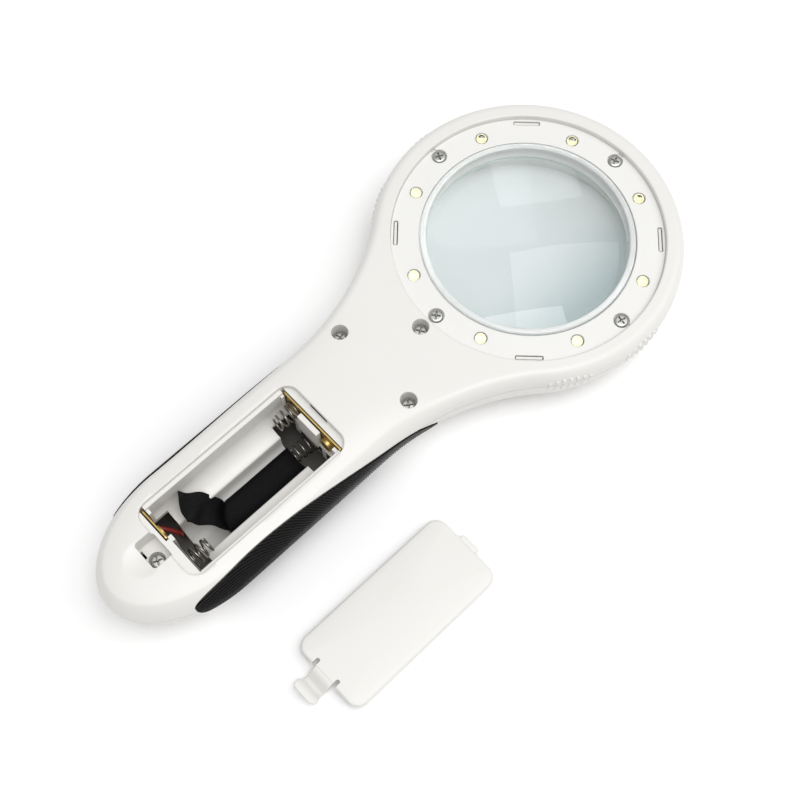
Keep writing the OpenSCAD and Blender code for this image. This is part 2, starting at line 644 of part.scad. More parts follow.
module battery_cover() color("white") translate([cover_rest_x, cover_rest_y, skirt_h]) {
    linear_extrude(cover_t) round_rect(cover_l, cover_w, 3.5);
    block([cover_l / 2 - 1, -tongue_w / 2, 0], [cover_l / 2 + tongue_l, tongue_w / 2, 0.9]);
    for (s = [-1, 1]) block([2 - cover_l / 2 + 2, s * (bay_half - 1) - 0.5, -skirt_h],
        [cover_l / 2 - 3.4, s * (bay_half - 1) + 0.5, 0.1]);
    translate([0, latch_y + latch_w / 2, 0]) rotate([90, 0, 0]) linear_extrude(latch_w) difference() {
        translate([-cover_l / 2 - latch_l + 1.2, -skirt_h]) square([latch_l - 0.6, skirt_h + cover_t]);
        translate([-cover_l / 2 - 3.2, 0.9 - skirt_h]) {
            translate([0, 1.4]) circle(1.4);
            translate([-1.4, 1.4]) square([2.8, 10]);
        }
    }
    block([-cover_l / 2 - latch_l, latch_y - 3.9, cover_t - 1.4],
        [-cover_l / 2 - latch_l + 2.6, latch_y + 3.9, cover_t - 0.2]);
}

module placed() translate([shift_x, shift_y, 0]) children();

placed() back_shell();
placed() front_shell();
placed() lamp_ring_plate();
placed() ring_screws();
placed() lens();
placed() lens_retainer();
placed() lamp_board();
placed() lamp_chips();
placed() lamp_domes();
placed() case_screws();
placed() left_grip();
placed() right_grip();
placed() head_contact_strip();
placed() head_spring();
placed() well_contact_plate();
placed() well_spring();
placed() butt_positive_plate();
placed() butt_contact_strip();
placed() butt_spring();
placed() pull_ribbon();
placed() positive_wire();
placed() negative_wire();
placed() lamp_feed_wire();
placed() lamp_return_wire();
placed() switch_board();
placed() switch_body();
placed() switch_knob();
placed() board_screws();
placed() resistor();
placed() battery_cover();
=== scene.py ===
# Handheld lighted magnifier, lamp side up, with its battery cover lying beside the handle.
import json

import bmesh
import bpy
import numpy as np
from mathutils import Matrix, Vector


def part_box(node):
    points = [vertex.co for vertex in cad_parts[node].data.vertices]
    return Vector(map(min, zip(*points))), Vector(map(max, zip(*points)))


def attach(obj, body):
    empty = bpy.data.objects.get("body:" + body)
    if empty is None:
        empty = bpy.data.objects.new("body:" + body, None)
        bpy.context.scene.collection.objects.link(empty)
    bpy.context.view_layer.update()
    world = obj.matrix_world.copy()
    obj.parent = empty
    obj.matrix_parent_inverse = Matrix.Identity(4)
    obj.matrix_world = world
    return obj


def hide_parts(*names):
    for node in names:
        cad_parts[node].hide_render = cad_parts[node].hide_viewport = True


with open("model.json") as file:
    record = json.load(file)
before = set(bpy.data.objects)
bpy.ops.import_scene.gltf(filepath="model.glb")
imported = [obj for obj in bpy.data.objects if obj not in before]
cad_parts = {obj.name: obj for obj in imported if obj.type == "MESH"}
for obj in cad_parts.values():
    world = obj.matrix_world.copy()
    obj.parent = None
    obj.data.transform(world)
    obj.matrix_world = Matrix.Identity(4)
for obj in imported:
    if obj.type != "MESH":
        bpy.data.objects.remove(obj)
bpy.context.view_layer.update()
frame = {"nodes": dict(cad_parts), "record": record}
record = frame["record"]
mm = 0.001
lensLow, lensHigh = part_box("lens")
lensAxis = np.array([(lensLow.x + lensHigh.x) / 2, (lensLow.y + lensHigh.y) / 2, 0.0])


# Shapes are worked out in millimetres from the lens axis, with the table at height 0.
def toFrame(points):
    return np.asarray(points, float) * mm + lensAxis


# Mesh making


def unit(vectors):  # scaled to length 1
    return vectors / np.linalg.norm(vectors, axis=-1, keepdims=True)


def ease(t):  # smooth step: 0 up to t = 0, 1 from t = 1 on
    t = np.clip(t, 0, 1)
    return t * t * (3 - 2 * t)


def gridFaces(rows, cols, wrapRows):  # quads between neighbouring rows and round each ring of columns
    i = np.arange(rows if wrapRows else rows - 1)[:, None]
    j = np.arange(cols)[None, :]
    nextRow = (i + 1) % rows
    nextCol = (j + 1) % cols
    corners = (i * cols + j, i * cols + nextCol, nextRow * cols + nextCol, nextRow * cols + j)
    return np.stack(np.broadcast_arrays(*corners), -1).reshape(-1, 4)


def put(name, data):  # object for a mesh, lamp or camera, in the scene
    holder = bpy.data.objects.new(name, data)
    bpy.context.scene.collection.objects.link(holder)
    return holder


def meshObject(name, points, faces):  # piece with its doubles merged and its faces pointing outwards
    mesh = bpy.data.meshes.new(name)
    mesh.from_pydata(toFrame(points).reshape(-1, 3).tolist(), [], faces)
    work = bmesh.new()
    work.from_mesh(mesh)
    bmesh.ops.remove_doubles(work, verts=work.verts, dist=2e-7)
    bmesh.ops.recalc_face_normals(work, faces=work.faces)
    work.to_mesh(mesh)
    work.free()
    return put(name, mesh)


def tube(name, grid, caps=True, wrapRows=False):  # rows of closed rings, with flat ends
    rows, cols = grid.shape[:2]
    faces = gridFaces(rows, cols, wrapRows).tolist()
    if caps:
        faces += [range(cols), range((rows - 1) * cols, rows * cols)]
    return meshObject(name, grid, faces)


def local(items, field):  # places of vertices or faces, in millimetres from the lens axis
    places = np.zeros(3 * len(items))
    items.foreach_get(field, places)
    return (places.reshape(-1, 3) - lensAxis) / mm


def copies(name, piece, moves):  # one mesh repeated at a list of 4x4 moves given in millimetres
    points = local(piece.data.vertices, "co")
    faces = [tuple(p.vertices) for p in piece.data.polygons]
    many = []
    sides = []
    for k, move in enumerate(moves):
        many.append(points @ move[:3, :3].T + move[:3, 3])
        sides += [tuple(v + k * len(points) for v in f) for f in faces]
    bpy.data.objects.remove(piece)
    return meshObject(name, np.concatenate(many), sides)


def moveTo(x, y, z=0.0, turn=0.0):  # 4x4 move to a place, turned about its upright line
    c, s = np.cos(turn), np.sin(turn)
    return np.array([[c, -s, 0, x], [s, c, 0, y], [0, 0, 1, z], [0, 0, 0, 1]])


def around(count, radius, start=0.0):  # places on a circle about the lens axis, each turned to face out
    turns = start + 2 * np.pi * np.arange(count) / count
    return [moveTo(radius * np.cos(a), radius * np.sin(a), 0, a) for a in turns]


def shape(piece, tools, operation):  # joins tools to a piece, or cuts them out of it
    for tool in tools:
        step = piece.modifiers.new(operation.lower(), "BOOLEAN")
        step.operation = operation
        step.object = tool
        step.solver = "MANIFOLD"
    settle(piece)
    for tool in tools:
        bpy.data.objects.remove(tool)
    return piece


def settle(piece):  # applies the modifiers of a piece to its mesh
    graph = bpy.context.evaluated_depsgraph_get()
    done = bpy.data.meshes.new_from_object(piece.evaluated_get(graph))
    piece.modifiers.clear()
    piece.data = done


def smooth(piece, angle=32, weighted=True):  # soft shading that keeps edges sharper than the angle
    piece.data.shade_smooth()
    piece.data.set_sharp_from_angle(angle=np.radians(angle))
    if weighted:
        even = piece.modifiers.new("even normals", "WEIGHTED_NORMAL")
        even.keep_sharp = True
        even.weight = 70
    return piece


# Plan outlines, as rings of points in the plane


def circle(radius, count=48, centre=(0.0, 0.0)):  # points at even turns about the centre
    a = 2 * np.pi * np.arange(count) / count
    return np.stack([centre[0] + radius * np.cos(a), centre[1] + radius * np.sin(a)], -1)


def roundRect(length, width, radius, centre=(0.0, 0.0), steps=8):  # four quarter arcs about the inner corners
    quarter = np.linspace(0, np.pi / 2, steps)
    a = np.concatenate([quarter + k * np.pi / 2 for k in range(4)])
    sx = np.repeat([1, -1, -1, 1], steps) * (length / 2 - radius)
    sy = np.repeat([1, 1, -1, -1], steps) * (width / 2 - radius)
    return np.stack([centre[0] + sx + radius * np.cos(a), centre[1] + sy + radius * np.sin(a)], -1)


def outward(ring):  # unit normals of a ring that runs anticlockwise
    along = np.roll(ring, -1, 0) - np.roll(ring, 1, 0)
    return unit(np.stack([along[:, 1], -along[:, 0]], -1))


def stack(name, ring, levels):  # closed solid through (offset, height) levels of one ring
    out = outward(ring)
    rows = []
    for offset, height in levels:
        z = np.broadcast_to(height, (len(ring), 1)) if np.isscalar(height) else height[:, None]
        rows.append(np.concatenate([ring + offset * out, z], 1))
    return tube(name, np.array(rows))


def prism(name, ring, low, high):  # the ring carried straight up
    return stack(name, ring, [(0.0, low), (0.0, high)])


def lipped(name, ring, low, top, lip, steps=5):
    # cutter for a pocket with a rounded lip: straight wall, then a quarter round that opens past the surface
    arc = np.radians(np.linspace(0, 78, steps))
    levels = [(0.0, low)] + [(lip * (1 - np.cos(a)), top - lip + lip * np.sin(a)) for a in arc]
    levels.append((lip * 1.05, top + 1.5))
    return stack(name, ring, levels)


def lathe(name, profile, count):
    # (radius, height) points turned about the lens axis; a ring's profile closes, others start and end on it
    profile = np.asarray(profile, float)
    closed = profile[0, 0] > 1e-6
    a = 2 * np.pi * np.arange(count) / count
    grid = np.stack([
        profile[:, None, 0] * np.cos(a), profile[:, None, 0] * np.sin(a),
        np.repeat(profile[:, None, 1], count, 1)], -1)
    return tube(name, grid, caps=False, wrapRows=closed)


def alongX(name, section, fromX, toX):  # (y, z) section carried along the handle
    ends = [np.column_stack([np.full(len(section), x), section]) for x in (fromX, toX)]
    return tube(name, np.array(ends))


def blockAt(name, low, high):  # upright block between two corners
    ring = np.array([[low[0], low[1]], [high[0], low[1]], [high[0], high[1]], [low[0], high[1]]], float)
    return prism(name, ring, low[2], high[2])


def rounded(corners, radii, steps=6):  # polygon of (a, b) corners with each corner rounded by its own radius
    corners = np.asarray(corners, float)
    points = []
    for k, radius in enumerate(radii):
        here = corners[k]
        if radius <= 0:
            points.append(here)
            continue
        back = unit(corners[k - 1] - here)
        ahead = unit(corners[(k + 1) % len(corners)] - here)
        half = np.arccos(np.clip(back @ ahead, -1, 1)) / 2
        start = here + back * radius / np.tan(half)
        end = here + ahead * radius / np.tan(half)
        t = np.linspace(0, 1, steps)[:, None]
        weight = np.sin(half)  # conic weight of a circular arc
        mixed = (1 - t) ** 2 * start + 2 * weight * t * (1 - t) * here + t ** 2 * end
        points += list(mixed / ((1 - t) ** 2 + 2 * weight * t * (1 - t) + t ** 2))
    return np.array(points)


print("helpers ready")

# The two shells: plan outline of head, neck, handle and butt, and how the surface leaves the seam

body = dict(
    headR=44.4, neckR=70.0, halfW=19.2, buttReach=152.2, buttRound=30.2, wall=1.8, floorT=1.4,
    seamZ=16.8, seamGap=0.15, rimZ=22.5, crownZ=24.8, shoulderW=3.4, crownW=14.0, bellyW=10.0,
    boxy=2.6, lean=0.9, swellFrom=1.6, swellRun=28.0,
    headRows=96, neckRows=36, sideRows=26, buttRows=44, across=14, wallSteps=18, crownSteps=10)
neckY = body["halfW"] + body["neckR"]
neckX = -np.sqrt((body["headR"] + body["neckR"]) ** 2 - neckY ** 2)
headTurn = np.arctan2(neckY, neckX)
buttX = body["buttRound"] - body["buttReach"]


def halfOutline(inset):  # left half of the plan, moved in by each inset: rows along it, columns by inset
    d = np.asarray(inset, float)[None, :]
    head = np.linspace(0, headTurn, body["headRows"])[:, None]
    neck = np.linspace(headTurn + np.pi, 1.5 * np.pi, body["neckRows"] + 1)[1:, None]
    side = np.linspace(neckX, buttX, body["sideRows"] + 1)[1:, None]
    butt = np.linspace(0, np.pi / 2, body["buttRows"] + 1)[1:, None]
    x = [(body["headR"] - d) * np.cos(head), neckX + (body["neckR"] + d) * np.cos(neck), side + 0 * d,
         buttX - (body["buttRound"] - d) * np.sin(butt)]
    y = [(body["headR"] - d) * np.sin(head), neckY + (body["neckR"] + d) * np.sin(neck),
         body["halfW"] - d + 0 * side, (body["halfW"] - d) * np.cos(butt)]
    return np.stack([np.concatenate(x), np.concatenate(y)], -1)


def swell(x):  # 0 on the head, 1 on the handle
    return ease((-x - body["headR"] - body["swellFrom"]) / body["swellRun"])


def rise(d, x):  # height above the seam at inset d: boxy on the head, leaning in and crowned on the handle
    n = body["boxy"] - body["lean"] * swell(x)
    shoulder = 1 - np.minimum(d, body["shoulderW"]) / body["shoulderW"]
    crown = 1 - np.minimum(d, body["crownW"]) / body["crownW"]
    high = (body["rimZ"] - body["seamZ"]) * (1 - shoulder ** n) ** (1 / n)
    return high + (body["crownZ"] - body["rimZ"]) * swell(x) * (1 - crown ** 3)


def drop(d):  # depth below the seam at inset d: quarter ellipse
    return body["seamZ"] * np.sqrt(1 - (1 - np.minimum(d, body["bellyW"]) / body["bellyW"]) ** 2)


def mirroredTube(name, plus):  # closes half profiles across the middle, above and below, row by row
    minus = plus[:, ::-1] * [1, -1, 1]
    t = np.linspace(0, 1, body["across"] + 2)[1:-1][None, :, None]
    lid = plus[:, -1:] * (1 - t) + minus[:, :1] * t
    base = minus[:, -1:] * (1 - t) + plus[:, :1] * t
    return tube(name, np.concatenate([plus, lid, minus, base], 1), caps=False)


def shellSolid(name, wallIn, upper, edgeZ):
    # solid under the upper or lower surface, closed flat at edgeZ, all moved in by wallIn
    s = np.linspace(0.06, 1, body["wallSteps"]) ** 2
    crown = np.linspace(body["shoulderW"], body["crownW"], body["crownSteps"])[1:]
    d = np.concatenate([body["shoulderW"] * s, crown]) if upper else body["bellyW"] * s
    xy = halfOutline(np.concatenate([[0.0], d]) + wallIn)
    if upper:
        z = body["seamZ"] + rise(d[None, :], xy[:, 1:, 0]) - wallIn
    else:
        z = np.maximum(body["seamZ"] - drop(d), body["floorT"] if wallIn else 0.0) + 0 * xy[:, 1:, 0]
    z = np.concatenate([np.full((len(xy), 1), edgeZ), z], 1)
    return mirroredTube(name, np.concatenate([xy, z[..., None]], -1))


def insetAt(x, y):  # how far a point of the handle lies inside the outline
    straight = body["halfW"] - np.abs(y)
    flare = np.hypot(x - neckX, np.abs(y) - neckY) - body["neckR"]
    low, high = np.zeros_like(x), np.full_like(x, body["halfW"] - 0.01)
    for _ in range(30):  # halving, on the ellipse that passes through the point
        d = (low + high) / 2
        past = np.minimum(x - buttX, 0) / (body["buttRound"] - d)
        inside = past ** 2 + (y / (body["halfW"] - d)) ** 2 < 1
        low, high = np.where(inside, d, low), np.where(inside, high, d)
    return np.where(x > neckX, flare, np.where(x > buttX, straight, low))


def topZ(x, y):  # height of the handle's top
    return body["seamZ"] + rise(insetAt(x, y), x)


print("outline ready")

# Back shell: skin, lamp recess, battery bay, cover seat, latch pocket

head = dict(
    recessR=38.8, recessZ=19.1, plateZ=20.8, plateT=1.6, ledgeZ=16.8, boreR=32.4, wallR=40.4, wallLow=15.3,
    wallTop=21.7, screwR=36.0, lampR=34.5, slotR=37.35, wireTurn=np.radians(168),
    ribMiddles=np.radians([89, 120]), ribStep=np.radians(2.5), ribR=0.6, ribOut=0.35, ribUp=0.45,
    ribTall=(1.6, 2.3, 2.7, 2.9, 2.7, 2.3, 1.6), snapLow=(-0.35, -3.6, 15.8), snapHigh=(0.35, 3.6, 20.4))
lampPlaces = around(8, head["lampR"], np.pi / 8)
ringScrewPlaces = around(4, head["screwR"])
snapPlaces = around(4, head["slotR"], np.pi / 4)
bay = dict(
    headX=-82.2, buttX=-129.6, half=11.0, cellY=5.45, cellZ=17.4, wellZ=8.19, troughR=5.55, wellR=5.45,
    seatZ=22.9, ridge=0.7, edge=0.3, buttGap=4.8, headGap=7.0, gapZ=14.4, stripZ=13.7, plateLow=13.8,
    slotHalf=12.0, tabY=8.9, tabZ=12.8, springY=7.0, buttonY=-6.2)
cover = dict(
    length=51.6, width=23.8, x=-106.2, restX=-97.3, restY=-49.6, thick=1.6, skirt=2.5, cornerR=3.5, air=0.3,
    spare=0.8, seatR=3.8, seatLip=0.4, tongueW=6.0, tongueL=1.5, latchY=1.0, latchW=6.5, latchL=7.3, rim=0.7,
    crown=0.35, skirtLine=[(-0.5, 2.6), (-0.5, 0.2), (-0.3, 0.0), (0.3, 0.0), (0.5, 0.2), (0.5, 2.6)])
latch = dict(floorZ=18.4, lip=0.45, cornerR=0.9, hookLow=13.8, dishR=16.0, dishUp=15.2, blockHalf=5.25)
latchEnd = cover["x"] - cover["length"] / 2 - cover["latchL"] + 1.7
seatHead = cover["x"] + cover["length"] / 2 + cover["air"] + cover["spare"]
screws = dict(neckX=-59.4, neckIn=6.6, rimX=-42.0, z=18.2, latchBack=5.8, latchZ=16.6, pocketR=2.3, boreR=1.4)
neckScrewY = neckY - np.sqrt((body["neckR"] + screws["neckIn"]) ** 2 - (screws["neckX"] - neckX) ** 2)
caseScrews = [
    (screws["neckX"], neckScrewY, screws["z"]), (screws["neckX"], -neckScrewY, screws["z"]),
    (screws["rimX"], 0.0, screws["z"]), (bay["buttX"] - screws["latchBack"], 0.0, screws["latchZ"])]
posts = dict(  # radius, bottom and top of each boss and bore
    ringBoss=(2.4, 11.5, 16.5), ringBore=(1.05, 10.8, 20.8), wireHole=(1.6, 13.8, 19.8),
    backBoss=(3.5, 15.4, 22.2), rimBoss=(2.6, 0.8, 15.1), neckBoss=(2.6, 2.9, 15.1),
    caseBore=(1.3, 3.9, 24.0), boardBore=(0.8, 2.5, 12.5))
grips = dict(
    headX=-55.0, length=81.6, leftLift=0.62, rightLift=0.85, fall=1.3, start=-0.3, climb=0.5, skew=1.6,
    blunt=0.45, tip=0.004, upStep=4.0, downStep=4.5, out=0.25, deep=0.8, pocket=0.95, grow=0.03)


def baySection(grow=0.0):  # (y, z) outline of the bay: side, cradle, ridge, well and the same mirrored
    cradle = np.radians(np.linspace(0, -86, 22))
    y = bay["cellY"] + (bay["troughR"] + grow) * np.cos(cradle)
    z = bay["cellZ"] + (bay["troughR"] + grow) * np.sin(cradle)
    well = np.linspace(0, -np.pi / 2, 18)
    wellY = (bay["wellR"] + grow) * np.cos(well)
    wellZ = bay["wellZ"] + (bay["wellR"] + grow) * np.sin(well)
    side = bay["half"] + grow
    top = np.array([[side + bay["edge"], bay["seatZ"] + 0.2], [side + 0.1, bay["seatZ"] - 0.1],
                    [side, bay["seatZ"] - bay["edge"]]])
    keep = y > bay["wellR"] + grow + bay["ridge"]
    foot = np.array([[bay["wellR"] + grow, bay["cellZ"] - bay["troughR"] - grow]])
    corner = rounded(np.concatenate([[[y[keep][-1], z[keep][-1]]], foot, [[foot[0, 0], foot[0, 1] - 2]]]),
                     [0, bay["ridge"], 0])[:-1]
    right = np.concatenate([
        top, np.stack([y[keep], z[keep]], -1), corner[1:], np.stack([wellY, wellZ], -1)])
    return np.concatenate([right, right[-2::-1] * [-1, 1]])


def sideY(x, d):  # half width of the handle at x, with the wall moved in by d
    curve = neckY - np.sqrt(np.maximum((body["neckR"] + d) ** 2 - (x - neckX) ** 2, 0))
    part = np.clip((buttX - x) / (body["buttRound"] - d), 0, 1)
    return np.where(x > neckX, curve, (body["halfW"] - d) * np.sqrt(1 - part ** 2))


def wallYZ(x, s):  # point of the handle's side wall at a step s up over the shoulder, or down to the belly
    d = s * s * np.where(s > 0, grips["upStep"], grips["downStep"])
    return np.stack([sideY(x, d), body["seamZ"] + np.where(s > 0, rise(d, x), -drop(d))], -1)


def wallPoint(x, s, out):  # the same point moved out along the wall's normal
    along = unit(wallYZ(x, s + 0.05) - wallYZ(x, s - 0.05))
    yz = wallYZ(x, s)
    return np.stack([x + 0 * s, yz[..., 0] + out * along[..., 1], yz[..., 1] - out * along[..., 0]], -1)


def leafBand(u, lift):  # lower and upper step of a grip: a leaf between two tips, fullest past its middle
    w = np.sin(np.pi * u ** grips["skew"]) ** grips["blunt"]
    mid = grips["start"] + grips["climb"] * u
    return mid - grips["fall"] * w, mid + lift * w


def gripSolid(name, lift, out, deep, grow, mirror, rows=120, cols=24):  # plain leaf on the wall, out and deep
    first = grips["tip"] - 0.1 * grow
    u = 0.5 - (0.5 - first) * np.cos(np.linspace(0, np.pi, rows))[:, None]
    low, high = leafBand(u, lift)
    v = low - grow + (high - low + 2 * grow) * np.linspace(0, 1, cols)[None, :]
    x = grips["headX"] - grips["length"] * u + 0 * v
    grid = np.concatenate([wallPoint(x, v, out), wallPoint(x, v, -deep)[:, ::-1]], 1)
    return tube(name, grid * [1, mirror, 1])


def sideRibs(name, up):  # rows of short beads on the head's side wall, to stop the fingers slipping
    t = np.linspace(-1, 1, 9)
    profile = np.stack([head["ribR"] * np.sqrt(np.maximum(1 - np.abs(t) ** 3, 0)), (t + 1) / 2], -1)
    bead = lathe("bead", profile, 14)
    reach = body["headR"] + head["ribOut"] - head["ribR"]
    moves = []
    for side in (-1, 1):
        for middle in head["ribMiddles"]:
            for k, tall in enumerate(head["ribTall"]):
                a = side * (middle + head["ribStep"] * (k - (len(head["ribTall"]) - 1) / 2))
                move = moveTo(reach * np.cos(a), reach * np.sin(a), body["seamZ"] + up * head["ribUp"])
                move[2, 2] = up * tall
                moves.append(move)
    return copies(name, bead, moves)


def bored(name, places, radius, low, high, count=40):  # one tool of several upright cylinders
    post = prism("post", circle(radius, count), low, high)
    return copies(name, post, [moveTo(p[0], p[1]) for p in places])


def screwPockets():  # round pockets for the heads, with lips that follow the handle's top, and bores below
    tools = []
    for x, y, z in caseScrews:
        ring = circle(screws["pocketR"], 48, (x, y))
        tools.append(lipped("screw pocket", ring, z, topZ(ring[:, 0], ring[:, 1]), 0.35))
        tools.append(prism("screw bore", circle(screws["boreR"], 24, (x, y)), z - 5, z + 1))
    return tools


def ball(name, radius, centre, count):  # half circle turned about its upright line
    a = np.linspace(-np.pi / 2, np.pi / 2, count // 2 + 1)
    profile = np.stack([radius * np.cos(a), centre[2] + radius * np.sin(a)], -1)
    return copies(name, lathe("ball", profile, count), [moveTo(centre[0], centre[1])])


def endFrames():  # walls at both ends of the bay, thick enough to slot the contacts into
    wide, low, high = bay["slotHalf"] + 1, bay["stripZ"] - 1, bay["seatZ"]
    return [blockAt("butt frame", (bay["buttX"] - 3.2, -wide, low), (bay["buttX"] + 0.4, wide + 0.4, high)),
            blockAt("head frame", (bay["headX"] - 0.4, -wide, low), (seatHead + 0.7, wide, high))]


def contactSlots():  # for the strip at the head, and for the plate and its tab at the butt
    half, high, tabY, plateLow = bay["slotHalf"], bay["seatZ"] + 1, bay["tabY"], bay["plateLow"]
    headX, back, front = bay["headX"], bay["buttX"] - 1.2, bay["buttX"] + 0.1
    return [blockAt("head slot", (headX - 0.1, -half, bay["stripZ"] - 0.3), (headX + 0.9, half, high)),
            blockAt("butt slot", (back, 0.9, plateLow - 0.3), (front, half + 0.4, high)),
            blockAt("tab slot", (back, tabY - 1.2, bay["tabZ"] - 1.2), (front, tabY + 1.2, plateLow))]


def floorGaps():  # the cradles stop short of both end walls
    half, buttX, headX = bay["half"], bay["buttX"], bay["headX"]
    return [blockAt("butt gap", (buttX, 3 - half, 0), (buttX + bay["buttGap"], half - 1, bay["gapZ"])),
            blockAt("head gap", (headX - bay["headGap"], 2 - half, 0), (headX, half - 2, bay["gapZ"]))]


def contactLips():  # ribs in front of the contacts; at the head a wide block, and a beam on two posts
    low, high, half = bay["stripZ"] + 0.6, bay["seatZ"] - 1, bay["half"]
    headX, buttX, beamLow, beamTop = bay["headX"], bay["buttX"], bay["stripZ"] - 1.2, bay["stripZ"] - 0.3
    lips = [((headX - 1.1, half - 0.6, low), (headX - 0.15, half + 0.8, high)),
            ((headX - 1.1, -half - 0.8, low), (headX - 0.15, 1.6 - half, high)),
            ((buttX + 0.15, half - 1.4, low), (buttX + 1, half + 0.8, high)),
            ((buttX - 0.2, 0.1, low), (buttX + 1, 1.9, high)),
            ((headX - 1.6, bay["buttonY"] + 2.4, beamLow), (headX - 0.15, bay["springY"] - 3.3, high)),
            ((headX - 1, -half - 0.5, beamLow), (headX + 0.3, half + 0.5, beamTop))]
    lips += [((headX - 1, y - 0.8, bay["wellZ"] - 2.5), (headX + 0.2, y + 0.8, beamTop)) for y in (-5.5, 5.5)]
    return [blockAt("lip", a, b) for a, b in lips]


def latchCuts():  # pocket for the cover's latch, a slot for its hook and a shallow dish for the thumb
    pocketHead, y = cover["x"] - cover["length"] / 2 + 0.2, cover["latchY"]
    middle = ((pocketHead + latchEnd) / 2, y)
    pocket = roundRect(pocketHead - latchEnd, cover["latchW"] + 1.9, latch["cornerR"], middle)
    hookLow, hookTop = latch["hookLow"], latch["floorZ"] + 0.4
    return [lipped("latch pocket", pocket, latch["floorZ"], topZ(pocket[:, 0], pocket[:, 1]), latch["lip"]),
            blockAt("hook slot", (latchEnd + 0.1, y + 1.2, hookLow), (latchEnd + 0.8, y + 3.6, hookTop)),
            ball("thumb dish", latch["dishR"], (latchEnd - 0.8, y, body["crownZ"] + latch["dishUp"]), 96)]


def gripPockets():
    return [gripSolid("left pocket", grips["leftLift"], 2, grips["pocket"], grips["grow"], 1),
            gripSolid("right pocket", grips["rightLift"], 2, grips["pocket"], grips["grow"], -1)]


def backShell():  # hollow skin, then bosses and walls joined on, then the cuts, then the thin lips
    shell = shellSolid("back_shell_moulding", 0.0, True, body["seamZ"] + body["seamGap"])
    shape(shell, [shellSolid("hollow", body["wall"], True, body["seamZ"] - 1)], "DIFFERENCE")
    low, high, y = head["wallLow"], head["wallTop"], cover["latchY"]
    wall = [(head["boreR"], low), (head["wallR"], low), (head["wallR"], high), (head["boreR"], high)]
    ringPlaces = [m[:2, 3] for m in ringScrewPlaces]
    latchLow = (latchEnd - 1.4, y - latch["blockHalf"], 15.4)
    latchHigh = (bay["buttX"] - 2, y + latch["blockHalf"], body["crownZ"] - 1)
    shape(shell, [
        sideRibs("back ribs", 1), lathe("recess wall", wall, 160),
        bored("ring bosses", ringPlaces, *posts["ringBoss"]),
        alongX("bay tub", baySection(1.0), bay["buttX"] - 2.2, bay["headX"] + 2.2),
        bored("case bosses", caseScrews, *posts["backBoss"]),
        blockAt("latch block", latchLow, latchHigh)] + endFrames(), "UNION")
    wireHole = head["lampR"] * np.array([np.cos(head["wireTurn"]), np.sin(head["wireTurn"])])
    seatL, seatW = cover["length"] + 2 * cover["air"] + cover["spare"], cover["width"] + 2 * cover["air"]
    seat = roundRect(seatL, seatW, cover["seatR"], (cover["x"] + cover["spare"] / 2, 0), 14)
    slotLow, slotHigh = (seatHead - 0.1, -3.3, bay["seatZ"] - 0.1), (seatHead + 1.5, 3.3, bay["seatZ"] + 1.2)
    shape(shell, [
        prism("board recess", circle(head["recessR"] - 1.2, 160), head["ledgeZ"], 40.0),
        lipped("plate recess", circle(head["recessR"], 192), head["recessZ"], body["rimZ"], 0.5),
        bored("ring bores", ringPlaces, *posts["ringBore"], 24),
        bored("wire hole", [wireHole], *posts["wireHole"], 24),
        alongX("bay hollow", baySection(), bay["buttX"], bay["headX"]),
        alongX("well wire hole", circle(1.2, 20, (0, bay["wellZ"])), bay["headX"], bay["headX"] + 5),
        lipped("cover seat", seat, bay["seatZ"], topZ(seat[:, 0], seat[:, 1]), cover["seatLip"]),
        blockAt("tongue slot", slotLow, slotHigh)]
        + floorGaps() + contactSlots() + latchCuts() + screwPockets() + gripPockets(), "DIFFERENCE")
    snap = blockAt("snap", head["snapLow"], head["snapHigh"])
    shape(shell, [copies("snap tabs", snap, snapPlaces)] + contactLips(), "UNION")
    return smooth(shell)


backPiece = backShell()
print("back shell", len(backPiece.data.polygons), "faces")

# Front shell: belly, lens seat, screw bosses, switch pocket

switch = dict(
    x=-70.5, boardZ=6.9, screwY=9.0, postR=1.9, blockL=17.0, blockW=11.4, thumbL=14.4, thumbW=8.8, slitL=8.4,
    slitW=3.6, blockLow=0.4, blockTop=3.2, thumbR=1.4, slitR=0.5,
    thumbLevels=[(0.5, -1.0), (0.35, 0.0), (0.1, 0.15), (0.0, 0.4), (0.0, 1.9)])
lensSeat = dict(  # radius and height of the wall that holds the lens, and of the mouth cut through the front
    wall=[(30.7, 0), (34.7, 0), (34.7, 1.6), (33.1, 14.75), (33.1, 15), (31.7, 15), (31.7, 12.1),
          (29.2, 12.1)],
    mouth=[(0, -1), (32.3, -1), (32.1, 0), (31.5, 0.16), (31.15, 0.55), (31.0, 1.1), (29.2, 12.15),
           (0, 12.15)])
dark = dict(  # faces inside the handle and the tongue's slot that get painted shade
    handleX=-48, aboveBelly=0.9, belowZ=16, pocketL=7.6, pocketW=4.8, pocketZ=2.3, slotFrom=0.2, slotTo=1.6,
    slotW=3.4, slotUp=0.5, slotH=0.75)


